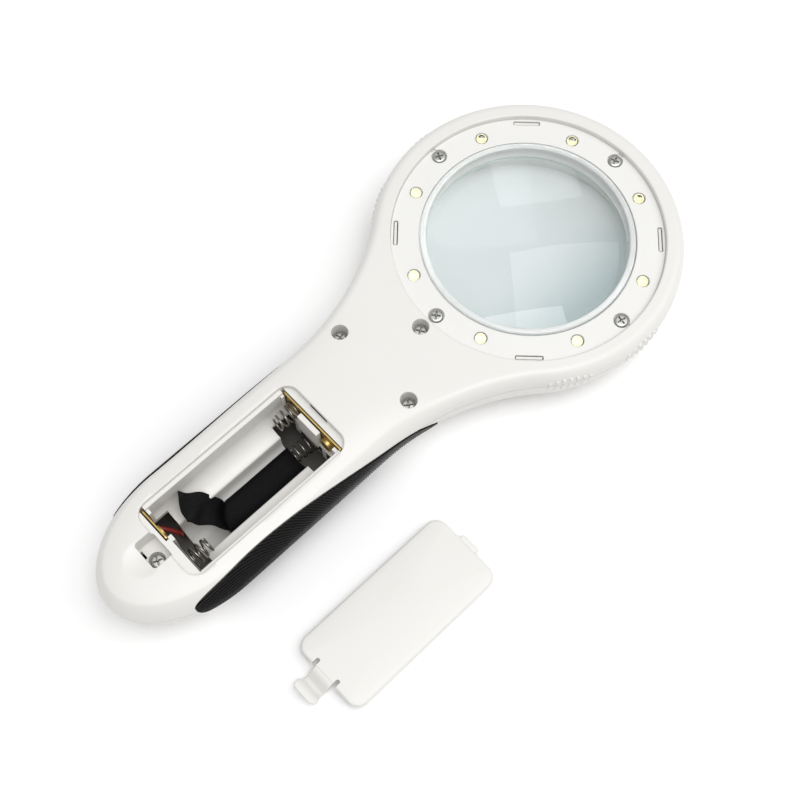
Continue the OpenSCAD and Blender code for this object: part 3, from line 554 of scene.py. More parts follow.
def frontShell():  # hollow belly, then seat, bosses and switch block joined on, then the cuts
    shell = shellSolid("front_shell_moulding", 0.0, False, body["seamZ"] - body["seamGap"])
    shape(shell, [shellSolid("hollow", body["wall"], False, body["seamZ"] + 1)], "DIFFERENCE")
    boardPosts = [(switch["x"], s * switch["screwY"]) for s in (-1, 1)]
    blockX, blockY = switch["blockL"] / 2, switch["blockW"] / 2
    shape(shell, [
        sideRibs("front ribs", -1), lathe("lens seat", lensSeat["wall"], 160),
        bored("rim and butt bosses", caseScrews[2:], *posts["rimBoss"]),
        bored("neck bosses", caseScrews[:2], *posts["neckBoss"]),
        bored("board posts", boardPosts, switch["postR"], 0.5, switch["boardZ"] - 0.1, 24),
        blockAt("switch block", (switch["x"] - blockX, -blockY, switch["blockLow"]),
                (switch["x"] + blockX, blockY, switch["blockTop"]))], "UNION")
    thumb = roundRect(switch["thumbL"], switch["thumbW"], switch["thumbR"], (switch["x"], 0))
    slit = roundRect(switch["slitL"], switch["slitW"], switch["slitR"], (switch["x"], 0), 6)
    shape(shell, [
        lathe("lens mouth", lensSeat["mouth"], 160),
        bored("case bores", caseScrews, *posts["caseBore"], 24),
        bored("board bores", boardPosts, *posts["boardBore"], 24),
        stack("thumb pocket", thumb, switch["thumbLevels"]),
        prism("knob slit", slit, -1.0, 5.0)] + gripPockets(), "DIFFERENCE")
    return smooth(shell)


def markPaintedShade(piece, hidden):  # the faces that the finish paints dark as shade
    layer = piece.data.attributes.new("inside", "FLOAT", "FACE")
    layer.data.foreach_set("value", hidden.astype(np.float32))


def handleHollow(piece):  # faces well above the belly, apart from the switch pocket's: painted shade in the handle's hollow
    x, y, z = local(piece.data.polygons, "center").T
    inPocket = np.abs(x - switch["x"]) < dark["pocketL"]
    inPocket &= (np.abs(y) < dark["pocketW"]) & (z < dark["pocketZ"])
    belly = body["seamZ"] - drop(insetAt(x, y))
    deep = (z > belly + dark["aboveBelly"]) & (z < dark["belowZ"])
    markPaintedShade(piece, (x < dark["handleX"]) & deep & ~inPocket)


def tongueHollow(piece):  # faces in the slot that takes the cover's tongue: painted shade
    x, y, z = local(piece.data.polygons, "center").T
    inX = (x - seatHead > dark["slotFrom"]) & (x - seatHead < dark["slotTo"])
    inZ = np.abs(z - bay["seatZ"] - dark["slotUp"]) < dark["slotH"]
    markPaintedShade(piece, inX & inZ & (np.abs(y) < dark["slotW"]))


frontPiece = frontShell()
handleHollow(frontPiece)
tongueHollow(backPiece)
print("front shell", len(frontPiece.data.polygons), "faces")

# Lamp ring: plate, screws, lamps, clear lens retainer and lens


plate = dict(
    innerR=30.8, outerR=38.76, holeR=1.85, holeLip=0.22, pocketR=2.25, pocketLip=0.2, boreR=1.25, slitW=1.3,
    slitL=7.8, slitR=0.4, slitLip=0.15)
lamp = dict(domeZ=18.6, domeR=1.55, bodyH=1.6, chipZ=17.95, flangeR=1.45, dotR=1.3)
glass = dict(edgeR=31.45, sag=3.6, low=12.75, high=15.85)
clearRing = dict(
    corners=[(28.7, 16.6), (31.9, 16.6), (31.9, 18.9), (30.5, 18.9), (30.5, 21.2), (28.7, 21.2)],
    rounds=[0.2, 0.15, 0.2, 0.25, 0.7, 0.55])
ringScrew = dict(headR=1.95, headH=0.95, shankR=0.95, shankL=7)
caseScrew = dict(headR=2.0, headH=1.3, shankR=1.15, shankL=9)
screwTurns = dict(ring=np.radians([20, 65, 38, 80]), case=np.radians([12, 55, 30, 70]))


def ringPlate():  # turned ring with lamp holes, screw pockets open to its edge, and snap slits
    low, high = head["plateZ"] - head["plateT"], head["plateZ"]
    inner, outer = plate["innerR"], plate["outerR"]
    profile = rounded([(inner, low), (outer, low), (outer, high), (inner, high)], [0, 0, 0.08, 0.3])
    ring = lathe("ring_plate_moulding", profile, 192)
    hole = lipped("hole", circle(plate["holeR"], 32), low - 1, high, plate["holeLip"])
    pocket = lipped("pocket", circle(plate["pocketR"], 32), low + 0.5, high, plate["pocketLip"])
    bore = prism("bore", circle(plate["boreR"], 24), low - 1, high)
    notch = blockAt("notch", (1.0, -0.8, low + 1), (5.0, 0.8, high + 2))
    gap = roundRect(plate["slitW"], plate["slitL"], plate["slitR"], steps=4)
    slit = lipped("slit", gap, low - 1, high, plate["slitLip"])
    shape(ring, [
        copies("lamp holes", hole, lampPlaces), copies("pockets", pocket, ringScrewPlaces),
        copies("bores", bore, ringScrewPlaces), copies("notches", notch, ringScrewPlaces),
        copies("slits", slit, snapPlaces)], "DIFFERENCE")
    return smooth(ring)


def crossScrew(name, headR, headH, shankR, shankL):
    # rounded head with a tapering cross recess, its underside at height 0, and a shank with a pointed end
    a = np.linspace(0, np.pi / 2, 7)
    crown = np.stack([headR * (0.62 + 0.38 * np.cos(a)), headH * (0.45 + 0.55 * np.sin(a))], -1)
    shank = [(0, -shankL), (shankR, 0.6 - shankL), (shankR, 0), (headR - 0.1, 0), (headR, 0.1)]
    profile = np.concatenate([shank, crown, [(headR * 0.3, headH * 1.01), (0, headH * 1.01)]])
    screw = lathe(name, profile, 40)
    blade = roundRect(1.3 * headR, 0.24 * headR, 0.05, steps=3)
    levels = [(-0.09 * headR, headH - 0.62), (0.0, headH - 0.12), (0.1, headH + 0.3)]
    blades = [copies("blade", stack("blade", blade, levels), [moveTo(0, 0, 0, a)]) for a in (0, np.pi / 2)]
    return shape(screw, blades, "DIFFERENCE")


def domedLamps():  # clear lamp body: short cylinder under a half ball
    a = np.linspace(0, np.pi / 2, 14)
    base, r = lamp["domeZ"], lamp["domeR"]
    dome = np.stack([r * np.cos(a), base + lamp["bodyH"] + r * np.sin(a)], -1)
    profile = np.concatenate([[(0, base), (r - 0.1, base), (r, base + 0.1)], dome])
    return smooth(copies("lamp_domes_clear", lathe("lamp", profile, 40), lampPlaces), 50, False)


def lampChips():  # phosphor dot on a flange whose dark colour is painted shade
    base, dot, flange = lamp["chipZ"], lamp["dotR"], lamp["flangeR"]
    profile = [(0, base), (flange, base), (flange, base + 0.25), (flange - 0.05, base + 0.34),
               (dot, base + 0.4), (dot - 0.05, base + 0.56), (dot - 0.2, base + 0.6), (0, base + 0.6)]
    chips = copies("lamp_chips_phosphor", lathe("chip", profile, 32), lampPlaces)
    x, y = local(chips.data.polygons, "center").T[:2]
    off = np.min([np.hypot(x - place[0, 3], y - place[1, 3]) for place in lampPlaces], 0)
    markPaintedShade(chips, off > dot)
    return smooth(chips, 50, False)


def retainer():  # clear ring over the lens: foot under the lamp plate, round-topped wall
    profile = rounded(clearRing["corners"], clearRing["rounds"], 7)
    return smooth(lathe("lens_retainer_clear", profile, 224), 50)


def lensSolid():  # two spherical faces on a ground edge
    edgeR, sag, low, high = glass["edgeR"], glass["sag"], glass["low"], glass["high"]
    ballR = (edgeR ** 2 + sag ** 2) / (2 * sag)
    r = np.linspace(0, edgeR - 0.12, 48)
    bulge = np.sqrt(ballR ** 2 - r ** 2) - (ballR - sag)
    lower = np.stack([r, low - bulge], -1)
    upper = np.stack([r, high + bulge], -1)[::-1]
    edge = [(edgeR, low + 0.05), (edgeR, high - 0.05)]
    profile = np.concatenate([lower, edge, upper])
    return smooth(lathe("lens_polished", profile, 192), 40, False)


platePiece = ringPlate()
screwZ = head["plateZ"] - head["plateT"] + 0.6
ringScrewPiece = smooth(copies("ring_screws_plated", crossScrew("ring screw", **ringScrew), [
    place @ moveTo(0, 0, screwZ, turn) for place, turn in zip(ringScrewPlaces, screwTurns["ring"])]), 30)
caseScrewPiece = smooth(copies("case_screws_plated", crossScrew("case screw", **caseScrew), [
    moveTo(x, y, z + 0.05, turn) for (x, y, z), turn in zip(caseScrews, screwTurns["case"])]), 30)
domePiece, chipPiece, retainerPiece, lensPiece = domedLamps(), lampChips(), retainer(), lensSolid()
print("lamp ring and lens ready")

# Rubber grips: ribs that fan out from a point below the butt end of the handle

rubber = dict(
    rows=760, cols=88, backCols=8, even=0.85, centre=(-125.0, -17.0), ribDeep=0.26, pitchA=0.2307,
    pitchB=1.395, edge=0.55, ribFrom=0.7, ribFade=0.5)


def ribbedGrip(name, lift, mirror):
    # wall of the handle moved out by rounded edges and in by ribs: arcs about the centre, closer farther out
    row = np.linspace(0, 1, rubber["rows"])[:, None]
    closing = 0.5 - 0.5 * np.cos(np.pi * row)  # rows closer together at the tips
    spread = rubber["even"] * row + (1 - rubber["even"]) * closing
    u = grips["tip"] + (1 - 2 * grips["tip"]) * spread
    low, high = leafBand(u, lift)
    t = np.linspace(0, 1, rubber["cols"])[None, :]
    v = low + (high - low) * t
    x = grips["headX"] - grips["length"] * u + 0 * v
    flat = wallYZ(x, v)
    step = np.linalg.norm(np.diff(flat, axis=1), axis=-1)
    climb = np.concatenate([np.zeros((len(u), 1)), np.cumsum(step, 1)], 1)
    seam = np.argmin(np.abs(v), axis=1)
    height = climb - np.take_along_axis(climb, seam[:, None], 1)
    r = np.hypot(x - rubber["centre"][0], height - rubber["centre"][1])
    wave = 0.5 - 0.5 * np.cos(2 * np.pi * rubber["pitchA"] * r ** rubber["pitchB"])
    fromEdge = np.minimum(climb, climb[:, -1:] - climb)
    fromTip = np.minimum(u, 1 - u) * grips["length"]
    border = np.clip(np.minimum(fromEdge, fromTip) / rubber["edge"], 0, 1)
    ribs = rubber["ribDeep"] * wave * np.clip((fromEdge - rubber["ribFrom"]) / rubber["ribFade"], 0, 1)
    out = grips["out"] * np.sqrt(1 - (1 - border) ** 2) - ribs
    some = slice(None, None, rubber["cols"] // rubber["backCols"])
    back = wallPoint(x[:, some], v[:, some], -grips["deep"])
    grid = np.concatenate([wallPoint(x, v, out), back[:, ::-1]], 1)
    piece = tube(name, grid * [1, mirror, 1])
    paintedRidgeHighlight = np.concatenate([(1 - wave) ** 2, np.zeros(back.shape[:2])], 1)  # painted highlight, paler on top of the ribs
    layer = piece.data.attributes.new("paintedRidgeHighlight", "FLOAT", "POINT")
    layer.data.foreach_set("value", paintedRidgeHighlight.ravel().astype(np.float32))
    return smooth(piece, 60, False)


leftGripPiece = ribbedGrip("left_grip_rubber", grips["leftLift"], 1)
rightGripPiece = ribbedGrip("right_grip_rubber", grips["rightLift"], -1)
print("grips ready")

# Battery springs and wire: round rods along a path


def rod(name, path, radius, sides=12):  # carries a ring along a path without twist
    path = np.asarray(path, float)
    along = unit(np.gradient(path, axis=0))
    normal = np.zeros_like(path)
    normal[0] = np.cross(along[0], [0.3, 0.2, 0.9])
    for k in range(len(path)):
        if k:
            normal[k] = normal[k - 1] - along[k] * (normal[k - 1] @ along[k])
        normal[k] = unit(normal[k])
    side = np.cross(along, normal)
    a = 2 * np.pi * np.arange(sides) / sides
    ring = normal[:, None] * np.cos(a)[None, :, None] + side[:, None] * np.sin(a)[None, :, None]
    return smooth(tube(name, path[:, None] + radius * ring), 50, False)


coil = dict(wire=0.6, curls=4, length=6.4, wide=2.7, narrow=1.9, steps=36, flat=0.1)


def coilPath(x, y, z, heading):  # tapering coil along X, flat at its first and last part turn
    t = np.linspace(0, 1, coil["curls"] * coil["steps"] + 1)
    a = 2 * np.pi * coil["curls"] * t
    r = coil["wide"] + (coil["narrow"] - coil["wide"]) * t
    climb = np.clip((t - coil["flat"]) / (1 - 2 * coil["flat"]), 0, 1)
    along = coil["wire"] / 2 + (coil["length"] - coil["wire"]) * climb
    return np.stack([x + heading * along, y + r * np.cos(a), z + r * np.sin(a)], -1)


headSpring, wellSpring, buttSpring = [rod(name, coilPath(*place), coil["wire"] / 2) for name, place in (
    ("head_spring_wire", (bay["headX"] + 0.2, bay["springY"], bay["cellZ"], -1)),
    ("well_spring_wire", (bay["headX"] - 0.55, 0.0, bay["wellZ"] + 0.2, -1)),
    ("butt_spring_wire", (bay["buttX"] + 0.55, -bay["cellY"], bay["cellZ"], 1)))]


def smoothPath(points, steps=14):  # Catmull-Rom curve through the points
    p = np.asarray(points, float)
    p = np.concatenate([[2 * p[0] - p[1]], p, [2 * p[-1] - p[-2]]])
    t = np.linspace(0, 1, steps, endpoint=False)[:, None]
    parts = []
    for a, b, c, d in zip(p, p[1:], p[2:], p[3:]):
        bend = (2 * a - 5 * b + 4 * c - d) * t ** 2 + (3 * b - a - 3 * c + d) * t ** 3
        parts.append(b + 0.5 * ((c - a) * t + bend))
    return np.concatenate(parts + [p[-2:-1]])


redWire = dict(radius=0.6, line=[
    (-129.9, 8.9, 12.8), (-127.6, 6.6, 11.0), (-126.0, 4.6, 8.6), (-125.7, 5.2, 5.0), (-124.0, 7.4, 4.6),
    (-121.0, 8.6, 6.2), (-108.0, 12.0, 7.0), (-86.0, 12.8, 8.0), (-77.0, 9.0, 10.4), (-72.6, 6.1, 11.0),
    (-72.0, 6.0, 8.15)])
positiveWire = rod("positive_wire_insulated", smoothPath(redWire["line"]), redWire["radius"], 16)


def contactPlate(name, x, across, heights, corner=0.9, thick=0.4):  # sheet metal, upright across the handle
    middle = (sum(across) / 2, sum(heights) / 2)
    section = roundRect(across[1] - across[0], heights[1] - heights[0], corner, middle)
    return alongX(name, section, x, x + thick)


def stampedButton(x, y, heading, radius, tall):  # (radius, height) profile turned about a line along X
    profile = [(0, -0.2), (radius + 0.25, -0.2), (radius + 0.25, 0.0), (radius + 0.06, 0.12), (radius, 0.3),
               (radius, tall - 0.3), (radius - 0.1, tall - 0.08), (radius - 0.35, tall), (0.6 * radius, tall),
               (0.5 * radius, tall - 0.1), (0, tall - 0.12)]
    turn = np.array([[0, 0, heading, x], [0, 1, 0, y], [1, 0, 0, bay["cellZ"]], [0, 0, 0, 1.0]])
    return copies("button", lathe("button", profile, 40), [turn])


def headContact():  # strip with a button
    x, half = bay["headX"] + 0.25, bay["slotHalf"] - 0.3
    strip = contactPlate("head_contact_sheet", x, (-half, half), (bay["stripZ"], bay["seatZ"] - 0.6))
    return smooth(shape(strip, [stampedButton(x, bay["buttonY"], -1, 2.1, 1.2)], "UNION"))


def positiveContact():  # plate with a button, and a tab below for the wire
    x, y, low = bay["buttX"] - 0.75, bay["tabY"], bay["plateLow"]
    sheet = contactPlate("butt_positive_sheet", x, (1.3, bay["slotHalf"]), (low, bay["seatZ"] - 0.4))
    tab = contactPlate("tab", x, (y - 0.9, y + 0.9), (bay["tabZ"] - 0.9, low + 1), 0.3)
    return smooth(shape(sheet, [stampedButton(x + 0.4, bay["cellY"], 1, 2.0, 0.7), tab], "UNION"))


headStrip, positivePlate = headContact(), positiveContact()
print("springs, wire and contacts ready")

# Pull ribbon: lies round the well floor, rises, creases and leans over the left cradle

ribbon = dict(
    width=10.0, thick=0.36, across=24, ripple=0.5, rippleAcross=0.55, rippleAlong=0.8, tailFrom=0.62)
ribbonLine = [  # x, y, z of the middle; turn and tilt of the cross direction in degrees; bend across in 1/mm
    (-88.6, 0.0, 3.05, 0, 0, 0.19), (-98, 0.0, 3.05, 0, 0, 0.19), (-106, 0.0, 3.05, 6, 0, 0.19),
    (-111, 0.2, 3.1, 17, 0, 0.18), (-113.9, 0.5, 3.4, 25, 0, 0.16), (-114.9, 0.6, 4.9, 25, 0, 0.15),
    (-115.3, 0.7, 8.4, 24, -1, 0.14), (-116.2, 2.2, 12.2, 25, -6, 0.06), (-118.3, 4.2, 15.6, 24, -11, 0.0),
    (-121.9, 6.1, 19.8, 21.5, -14.6, 0.02)]


def ribbonSheet():  # bent cross lines carried along the middle line, with ripples on the free tail
    line = smoothPath(ribbonLine)
    middle = line[:, :3]
    turn, tilt, bend = np.radians(line[:, 3:4]), np.radians(line[:, 4:5]), line[:, 5:6]
    across = np.concatenate([np.sin(turn) * np.cos(tilt), np.cos(turn) * np.cos(tilt), np.sin(tilt)], 1)
    normal = unit(np.cross(across, unit(np.gradient(middle, axis=0))))
    steps = np.linalg.norm(np.diff(middle, axis=0), axis=1)
    run = np.concatenate([[0], np.cumsum(steps)])[:, None]
    c = np.linspace(-0.5, 0.5, ribbon["across"])[None, :] * ribbon["width"]
    safe = np.where(np.abs(bend) < 1e-4, 1e-4, bend)
    sideways, up = np.sin(safe * c) / safe, (1 - np.cos(safe * c)) / safe
    tail = np.clip((run / run[-1] - ribbon["tailFrom"]) * 4, 0, 1)
    up = up + ribbon["ripple"] * tail * np.sin(ribbon["rippleAcross"] * c + ribbon["rippleAlong"] * run)
    face = middle[:, None] + across[:, None] * sideways[..., None] + normal[:, None] * up[..., None]
    under = face - ribbon["thick"] * normal[:, None]
    piece = tube("pull_ribbon_tape", np.concatenate([face, under[:, ::-1]], 1))
    layer = piece.data.uv_layers.new(name="tape")
    points = local(piece.data.vertices, "co")
    loops = np.zeros(len(piece.data.loops), int)
    piece.data.loops.foreach_get("vertex_index", loops)
    near = np.argmin(np.linalg.norm(points[:, None] - middle[None], axis=2), 1)
    uv = np.stack([np.sum((points - middle[near]) * across[near], 1), run[near, 0]], -1)
    layer.data.foreach_set("uv", uv[loops].ravel())
    return smooth(piece, 50, False), run[-1, 0]


ribbonPiece, ribbonLength = ribbonSheet()
print("ribbon", round(ribbonLength, 1), "mm long")

# Battery cover on the table: crowned plate, skirts, tongue and spring latch


def coverTop(y):  # top of the cover's plate: highest along the middle
    return cover["skirt"] + cover["thick"] - cover["crown"] * (2 * y / cover["width"]) ** 2


def coverPlate():  # rings from the middle of the underside, round the rim, to the middle of the top
    rim, ring = cover["rim"], roundRect(cover["length"], cover["width"], cover["cornerR"], steps=16)
    out, low = outward(ring), np.full(len(ring), cover["skirt"])
    levels = [(-0.25, low), (0.0, low + 0.25)]
    for a in np.radians(np.linspace(0, 90, 7)):
        levels.append((-rim * (1 - np.cos(a)), coverTop(ring[:, 1]) - rim * (1 - np.sin(a))))
    rows = [np.column_stack([0 * ring, low])] + [np.column_stack([ring + d * out, z]) for d, z in levels]
    inner = ring - rim * out
    rows += [np.column_stack([inner * s, coverTop(inner[:, 1] * s)]) for s in np.linspace(1, 0, 16)[1:]]
    return tube("battery_cover_moulding", np.array(rows), caps=False)


leaf = dict(thick=1.2, lobe=1.3, flare=1.3, flareFrom=2.6, flareRun=0.9, line=[  # along the leaf and up
    (0.0, 3.25), (1.5, 2.95), (2.6, 1.9), (3.9, 0.65), (5.3, 1.6), (6.2, 2.75), (7.0, 3.25), (8.1, 3.3)])


def latchLeaf():  # strip that dips into a valley and comes up again as a finger tab
    reach, lobe = cover["length"] / 2 + cover["latchL"], leaf["lobe"]
    path = smoothPath(leaf["line"], 10)
    path[:, 0] += reach - leaf["line"][-1][0]
    along = unit(np.gradient(path, axis=0))
    flare = ease((path[:, 0] - reach + leaf["flareFrom"]) / leaf["flareRun"])
    width = cover["latchW"] + leaf["flare"] * flare
    left = np.maximum(lobe - (reach - path[:, 0]), 0)
    width = width - 2 * (lobe - np.sqrt(np.maximum(lobe ** 2 - left ** 2, 0.0)))
    section = roundRect(1.0, leaf["thick"], 0.35, steps=5)
    edge = np.sign(section[:, 0]) * (0.5 - np.abs(section[:, 0]))
    y = cover["latchY"] + np.sign(section[:, 0]) * width[:, None] / 2 - edge
    x = -(path[:, :1] - along[:, 1:] * section[:, 1])
    z = path[:, 1:] + along[:, :1] * section[:, 1]
    return tube("leaf", np.stack([x, y, z], -1))


def batteryCover():  # plate with skirts, tongue and latch joined on, and a notch on each side of the latch
    end, y = cover["length"] / 2, cover["latchY"]
    sections = [np.add(cover["skirtLine"], (side * (bay["half"] - 1), 0)) for side in (-1, 1)]
    skirts = [alongX("skirt", section, 4 - end, end - 3.4) for section in sections]
    tongue = roundRect(cover["tongueL"] + 1, cover["tongueW"], 0.5, (end + (cover["tongueL"] - 1) / 2, 0), 5)
    low = cover["skirt"]
    tongueLevels = [(0.0, low), (0.0, low + 0.7), (-0.2, low + 0.9)]
    moulding = shape(coverPlate(), skirts + [stack("tongue", tongue, tongueLevels), latchLeaf()], "UNION")
    rings = [roundRect(4.4, 1.2, 0.55, (-end, y + side * (cover["latchW"] / 2 + 0.6)), 5) for side in (-1, 1)]
    shape(moulding, [prism("notch", ring, -1.0, 8.0) for ring in rings], "DIFFERENCE")
    return smooth(copies("battery_cover_moulding", moulding, [moveTo(cover["restX"], cover["restY"])]))


coverPiece = batteryCover()
print("cover ready")

# Materials


def newGroup(name, inputs, outputs):  # empty shader group with named sockets, and its two end nodes
    group = bpy.data.node_groups.new(name, "ShaderNodeTree")
    for label, kind, value in inputs:
        socket = group.interface.new_socket(label, in_out="INPUT", socket_type=kind)
        socket.default_value = value
    for label, kind in outputs:
        group.interface.new_socket(label, in_out="OUTPUT", socket_type=kind)
    return group, group.nodes.new("NodeGroupInput"), group.nodes.new("NodeGroupOutput")


def node(tree, kind, values=None, **settings):  # one node, with its input values and its own settings
    made = tree.nodes.new(kind)
    for name, value in settings.items():
        setattr(made, name, value)
    for key, value in (values or {}).items():
        made.inputs[key].default_value = value
    return made


def join(tree, *links):  # each link: node and output, node and input
    for source, output, target, entry in links:
        tree.links.new(source.outputs[output], target.inputs[entry])


def grainGroup():
    # noise at two sizes: a broad one mixes the colours, and both lift the roughness and the bump
    number, colour = "NodeSocketFloat", "NodeSocketColor"
    group, given, result = newGroup("mouldedGrain", [
        ("Light", colour, (0.8, 0.8, 0.8, 1)), ("Dark", colour, (0.7, 0.7, 0.7, 1)), ("Smooth", number, 0.3),
        ("Rough", number, 0.5), ("Broad", number, 80.0), ("Fine", number, 2500.0), ("Depth", number, 0.05)],
        [("Color", colour), ("Roughness", number), ("Normal", "NodeSocketVector")])
    place = node(group, "ShaderNodeTexCoord")
    broad = node(group, "ShaderNodeTexNoise", {"Detail": 3.0, "Roughness": 0.55})
    fine = node(group, "ShaderNodeTexNoise", {"Detail": 2.0, "Roughness": 0.5})
    mix = node(group, "ShaderNodeMix", data_type="RGBA")
    rough = node(group, "ShaderNodeMapRange", {"From Min": 0.3, "From Max": 0.7})
    both = node(group, "ShaderNodeMath", {1: 0.5}, operation="MULTIPLY_ADD")
    bump = node(group, "ShaderNodeBump", {"Distance": 0.00005})
    join(group, (place, "Object", broad, "Vector"), (place, "Object", fine, "Vector"),
         (given, "Broad", broad, "Scale"), (given, "Fine", fine, "Scale"), (broad, "Fac", mix, "Factor"),
         (given, "Dark", mix, "A"), (given, "Light", mix, "B"),
         (fine, "Fac", both, 0), (broad, "Fac", both, 2), (both, "Value", rough, "Value"),
         (given, "Smooth", rough, "To Min"), (given, "Rough", rough, "To Max"),
         (fine, "Fac", bump, "Height"), (given, "Depth", bump, "Strength"), (mix, "Result", result, "Color"),
         (rough, "Result", result, "Roughness"), (bump, "Normal", result, "Normal"))
    return group


grain = grainGroup()


def grained(name, light, dark, gloss, noise, **principled):
    # gloss: smoothest and roughest; noise: scale of the broad and the fine one, and depth of the bump
    material = bpy.data.materials.new(name)
    material.use_nodes = True
    tree = material.node_tree
    surface = tree.nodes["Principled BSDF"]
    made = node(tree, "ShaderNodeGroup", node_tree=grain)
    labels = ("Light", "Dark", "Smooth", "Rough", "Broad", "Fine", "Depth")
    for label, value in zip(labels, ((*light, 1), (*dark, 1), *gloss, *noise)):
        made.inputs[label].default_value = value
    join(tree, (made, "Color", surface, "Base Color"), (made, "Roughness", surface, "Roughness"),
         (made, "Normal", surface, "Normal"))
    for label, value in principled.items():
        surface.inputs[label.replace("_", " ")].default_value = value
    return material


def tinted(material, factor, colour):  # mixes a colour into the base colour where the factor socket is 1
    tree = material.node_tree
    base = tree.nodes["Principled BSDF"].inputs["Base Color"]
    mix = node(tree, "ShaderNodeMix", {"B": (*colour, 1)}, data_type="RGBA")
    tree.links.new(factor, mix.inputs["Factor"])
    tree.links.new(base.links[0].from_socket, mix.inputs["A"])
    tree.links.new(mix.outputs["Result"], base)
    return material


def clear(name, light, dark, roughness, shade, **principled):
    # see-through plastic or glass, which lets light through to what lies under it
    principled = dict(Transmission_Weight=1.0) | principled
    material = grained(name, light, dark, (roughness / 2, roughness), (60, 900, 0.02), **principled)
    tree = material.node_tree
    surface, end = tree.nodes["Principled BSDF"], tree.nodes["Material Output"]
    path = node(tree, "ShaderNodeLightPath")
    through = node(tree, "ShaderNodeBsdfTransparent", {"Color": (*shade, 1)})
    mix = node(tree, "ShaderNodeMixShader")
    join(tree, (path, "Is Shadow Ray", mix, "Fac"), (surface, "BSDF", mix, 1), (through, "BSDF", mix, 2),
         (mix, "Shader", end, "Surface"))
    return material


def where(attribute, colour, material):  # takes the colour where the mesh's own attribute is 1
    marked = node(material.node_tree, "ShaderNodeAttribute", attribute_name=attribute)
    return tinted(material, marked.outputs["Fac"], colour)


# side: painted shade that darkens the lens towards its right side
lensTint = dict(
    light=(0.6, 0.632, 0.636), dark=(0.58, 0.612, 0.616), shade=(0.97, 0.98, 0.98), side=(0.4, 0.47, 0.48),
    shadeFrom=-0.004, shadeTo=-0.03, rim=(0.58, 0.65, 0.63), rimFrom=0.0265, rimTo=0.031)


def lensFinish():  # faintly blue glass, darkened towards its right side as painted shade, with another tint at its ground edge
    material = clear("lensGlass", lensTint["light"], lensTint["dark"], 0.01, lensTint["shade"], IOR=1.5)
    tree = material.node_tree
    place = node(tree, "ShaderNodeTexCoord")
    fromAxis = node(tree, "ShaderNodeVectorMath", {1: lensAxis.tolist()}, operation="SUBTRACT")
    inPlan = node(tree, "ShaderNodeVectorMath", {1: (1, 1, 0)}, operation="MULTIPLY")
    parts = node(tree, "ShaderNodeSeparateXYZ")
    radius = node(tree, "ShaderNodeVectorMath", operation="LENGTH")
    shadeSpan = {"From Min": lensTint["shadeFrom"], "From Max": lensTint["shadeTo"]}
    side = node(tree, "ShaderNodeMapRange", shadeSpan, interpolation_type="SMOOTHSTEP")
    rim = node(tree, "ShaderNodeMapRange", {"From Min": lensTint["rimFrom"], "From Max": lensTint["rimTo"]})
    join(tree, (place, "Object", fromAxis, 0), (fromAxis, "Vector", inPlan, 0),
         (inPlan, "Vector", parts, "Vector"), (inPlan, "Vector", radius, 0),
         (parts, "Y", side, "Value"), (radius, "Value", rim, "Value"))
    tinted(material, side.outputs["Result"], lensTint["side"])
    return tinted(material, rim.outputs["Result"], lensTint["rim"])


def tapeFinish():
    # woven tape: threads along and across its own UV, over and under in turn, lift the bump and the colour
    material = grained("wovenTape", (0.003, 0.003, 0.004), (0.0015, 0.0015, 0.002), (0.32, 0.52),
                       (300, 4000, 0.1), Specular_IOR_Level=0.11)
    tree = material.node_tree
    surface = tree.nodes["Principled BSDF"]
    place = node(tree, "ShaderNodeUVMap", uv_map="tape")
    weave = node(tree, "ShaderNodeTexChecker", {"Scale": 2.6})
    thread = node(tree, "ShaderNodeTexWave", {"Scale": 0.8, "Distortion": 1.0, "Detail": 2.0})
    height = node(tree, "ShaderNodeMath", operation="MULTIPLY_ADD")
    bump = node(tree, "ShaderNodeBump", {"Strength": 0.5, "Distance": 0.0001})
    join(tree, (place, "UV", weave, "Vector"), (place, "UV", thread, "Vector"), (weave, "Fac", height, 0),
         (thread, "Fac", height, 1), (thread, "Fac", height, 2), (height, "Value", bump, "Height"),
         (bump, "Normal", surface, "Normal"))
    return tinted(material, weave.outputs["Fac"], (0.006, 0.006, 0.007))


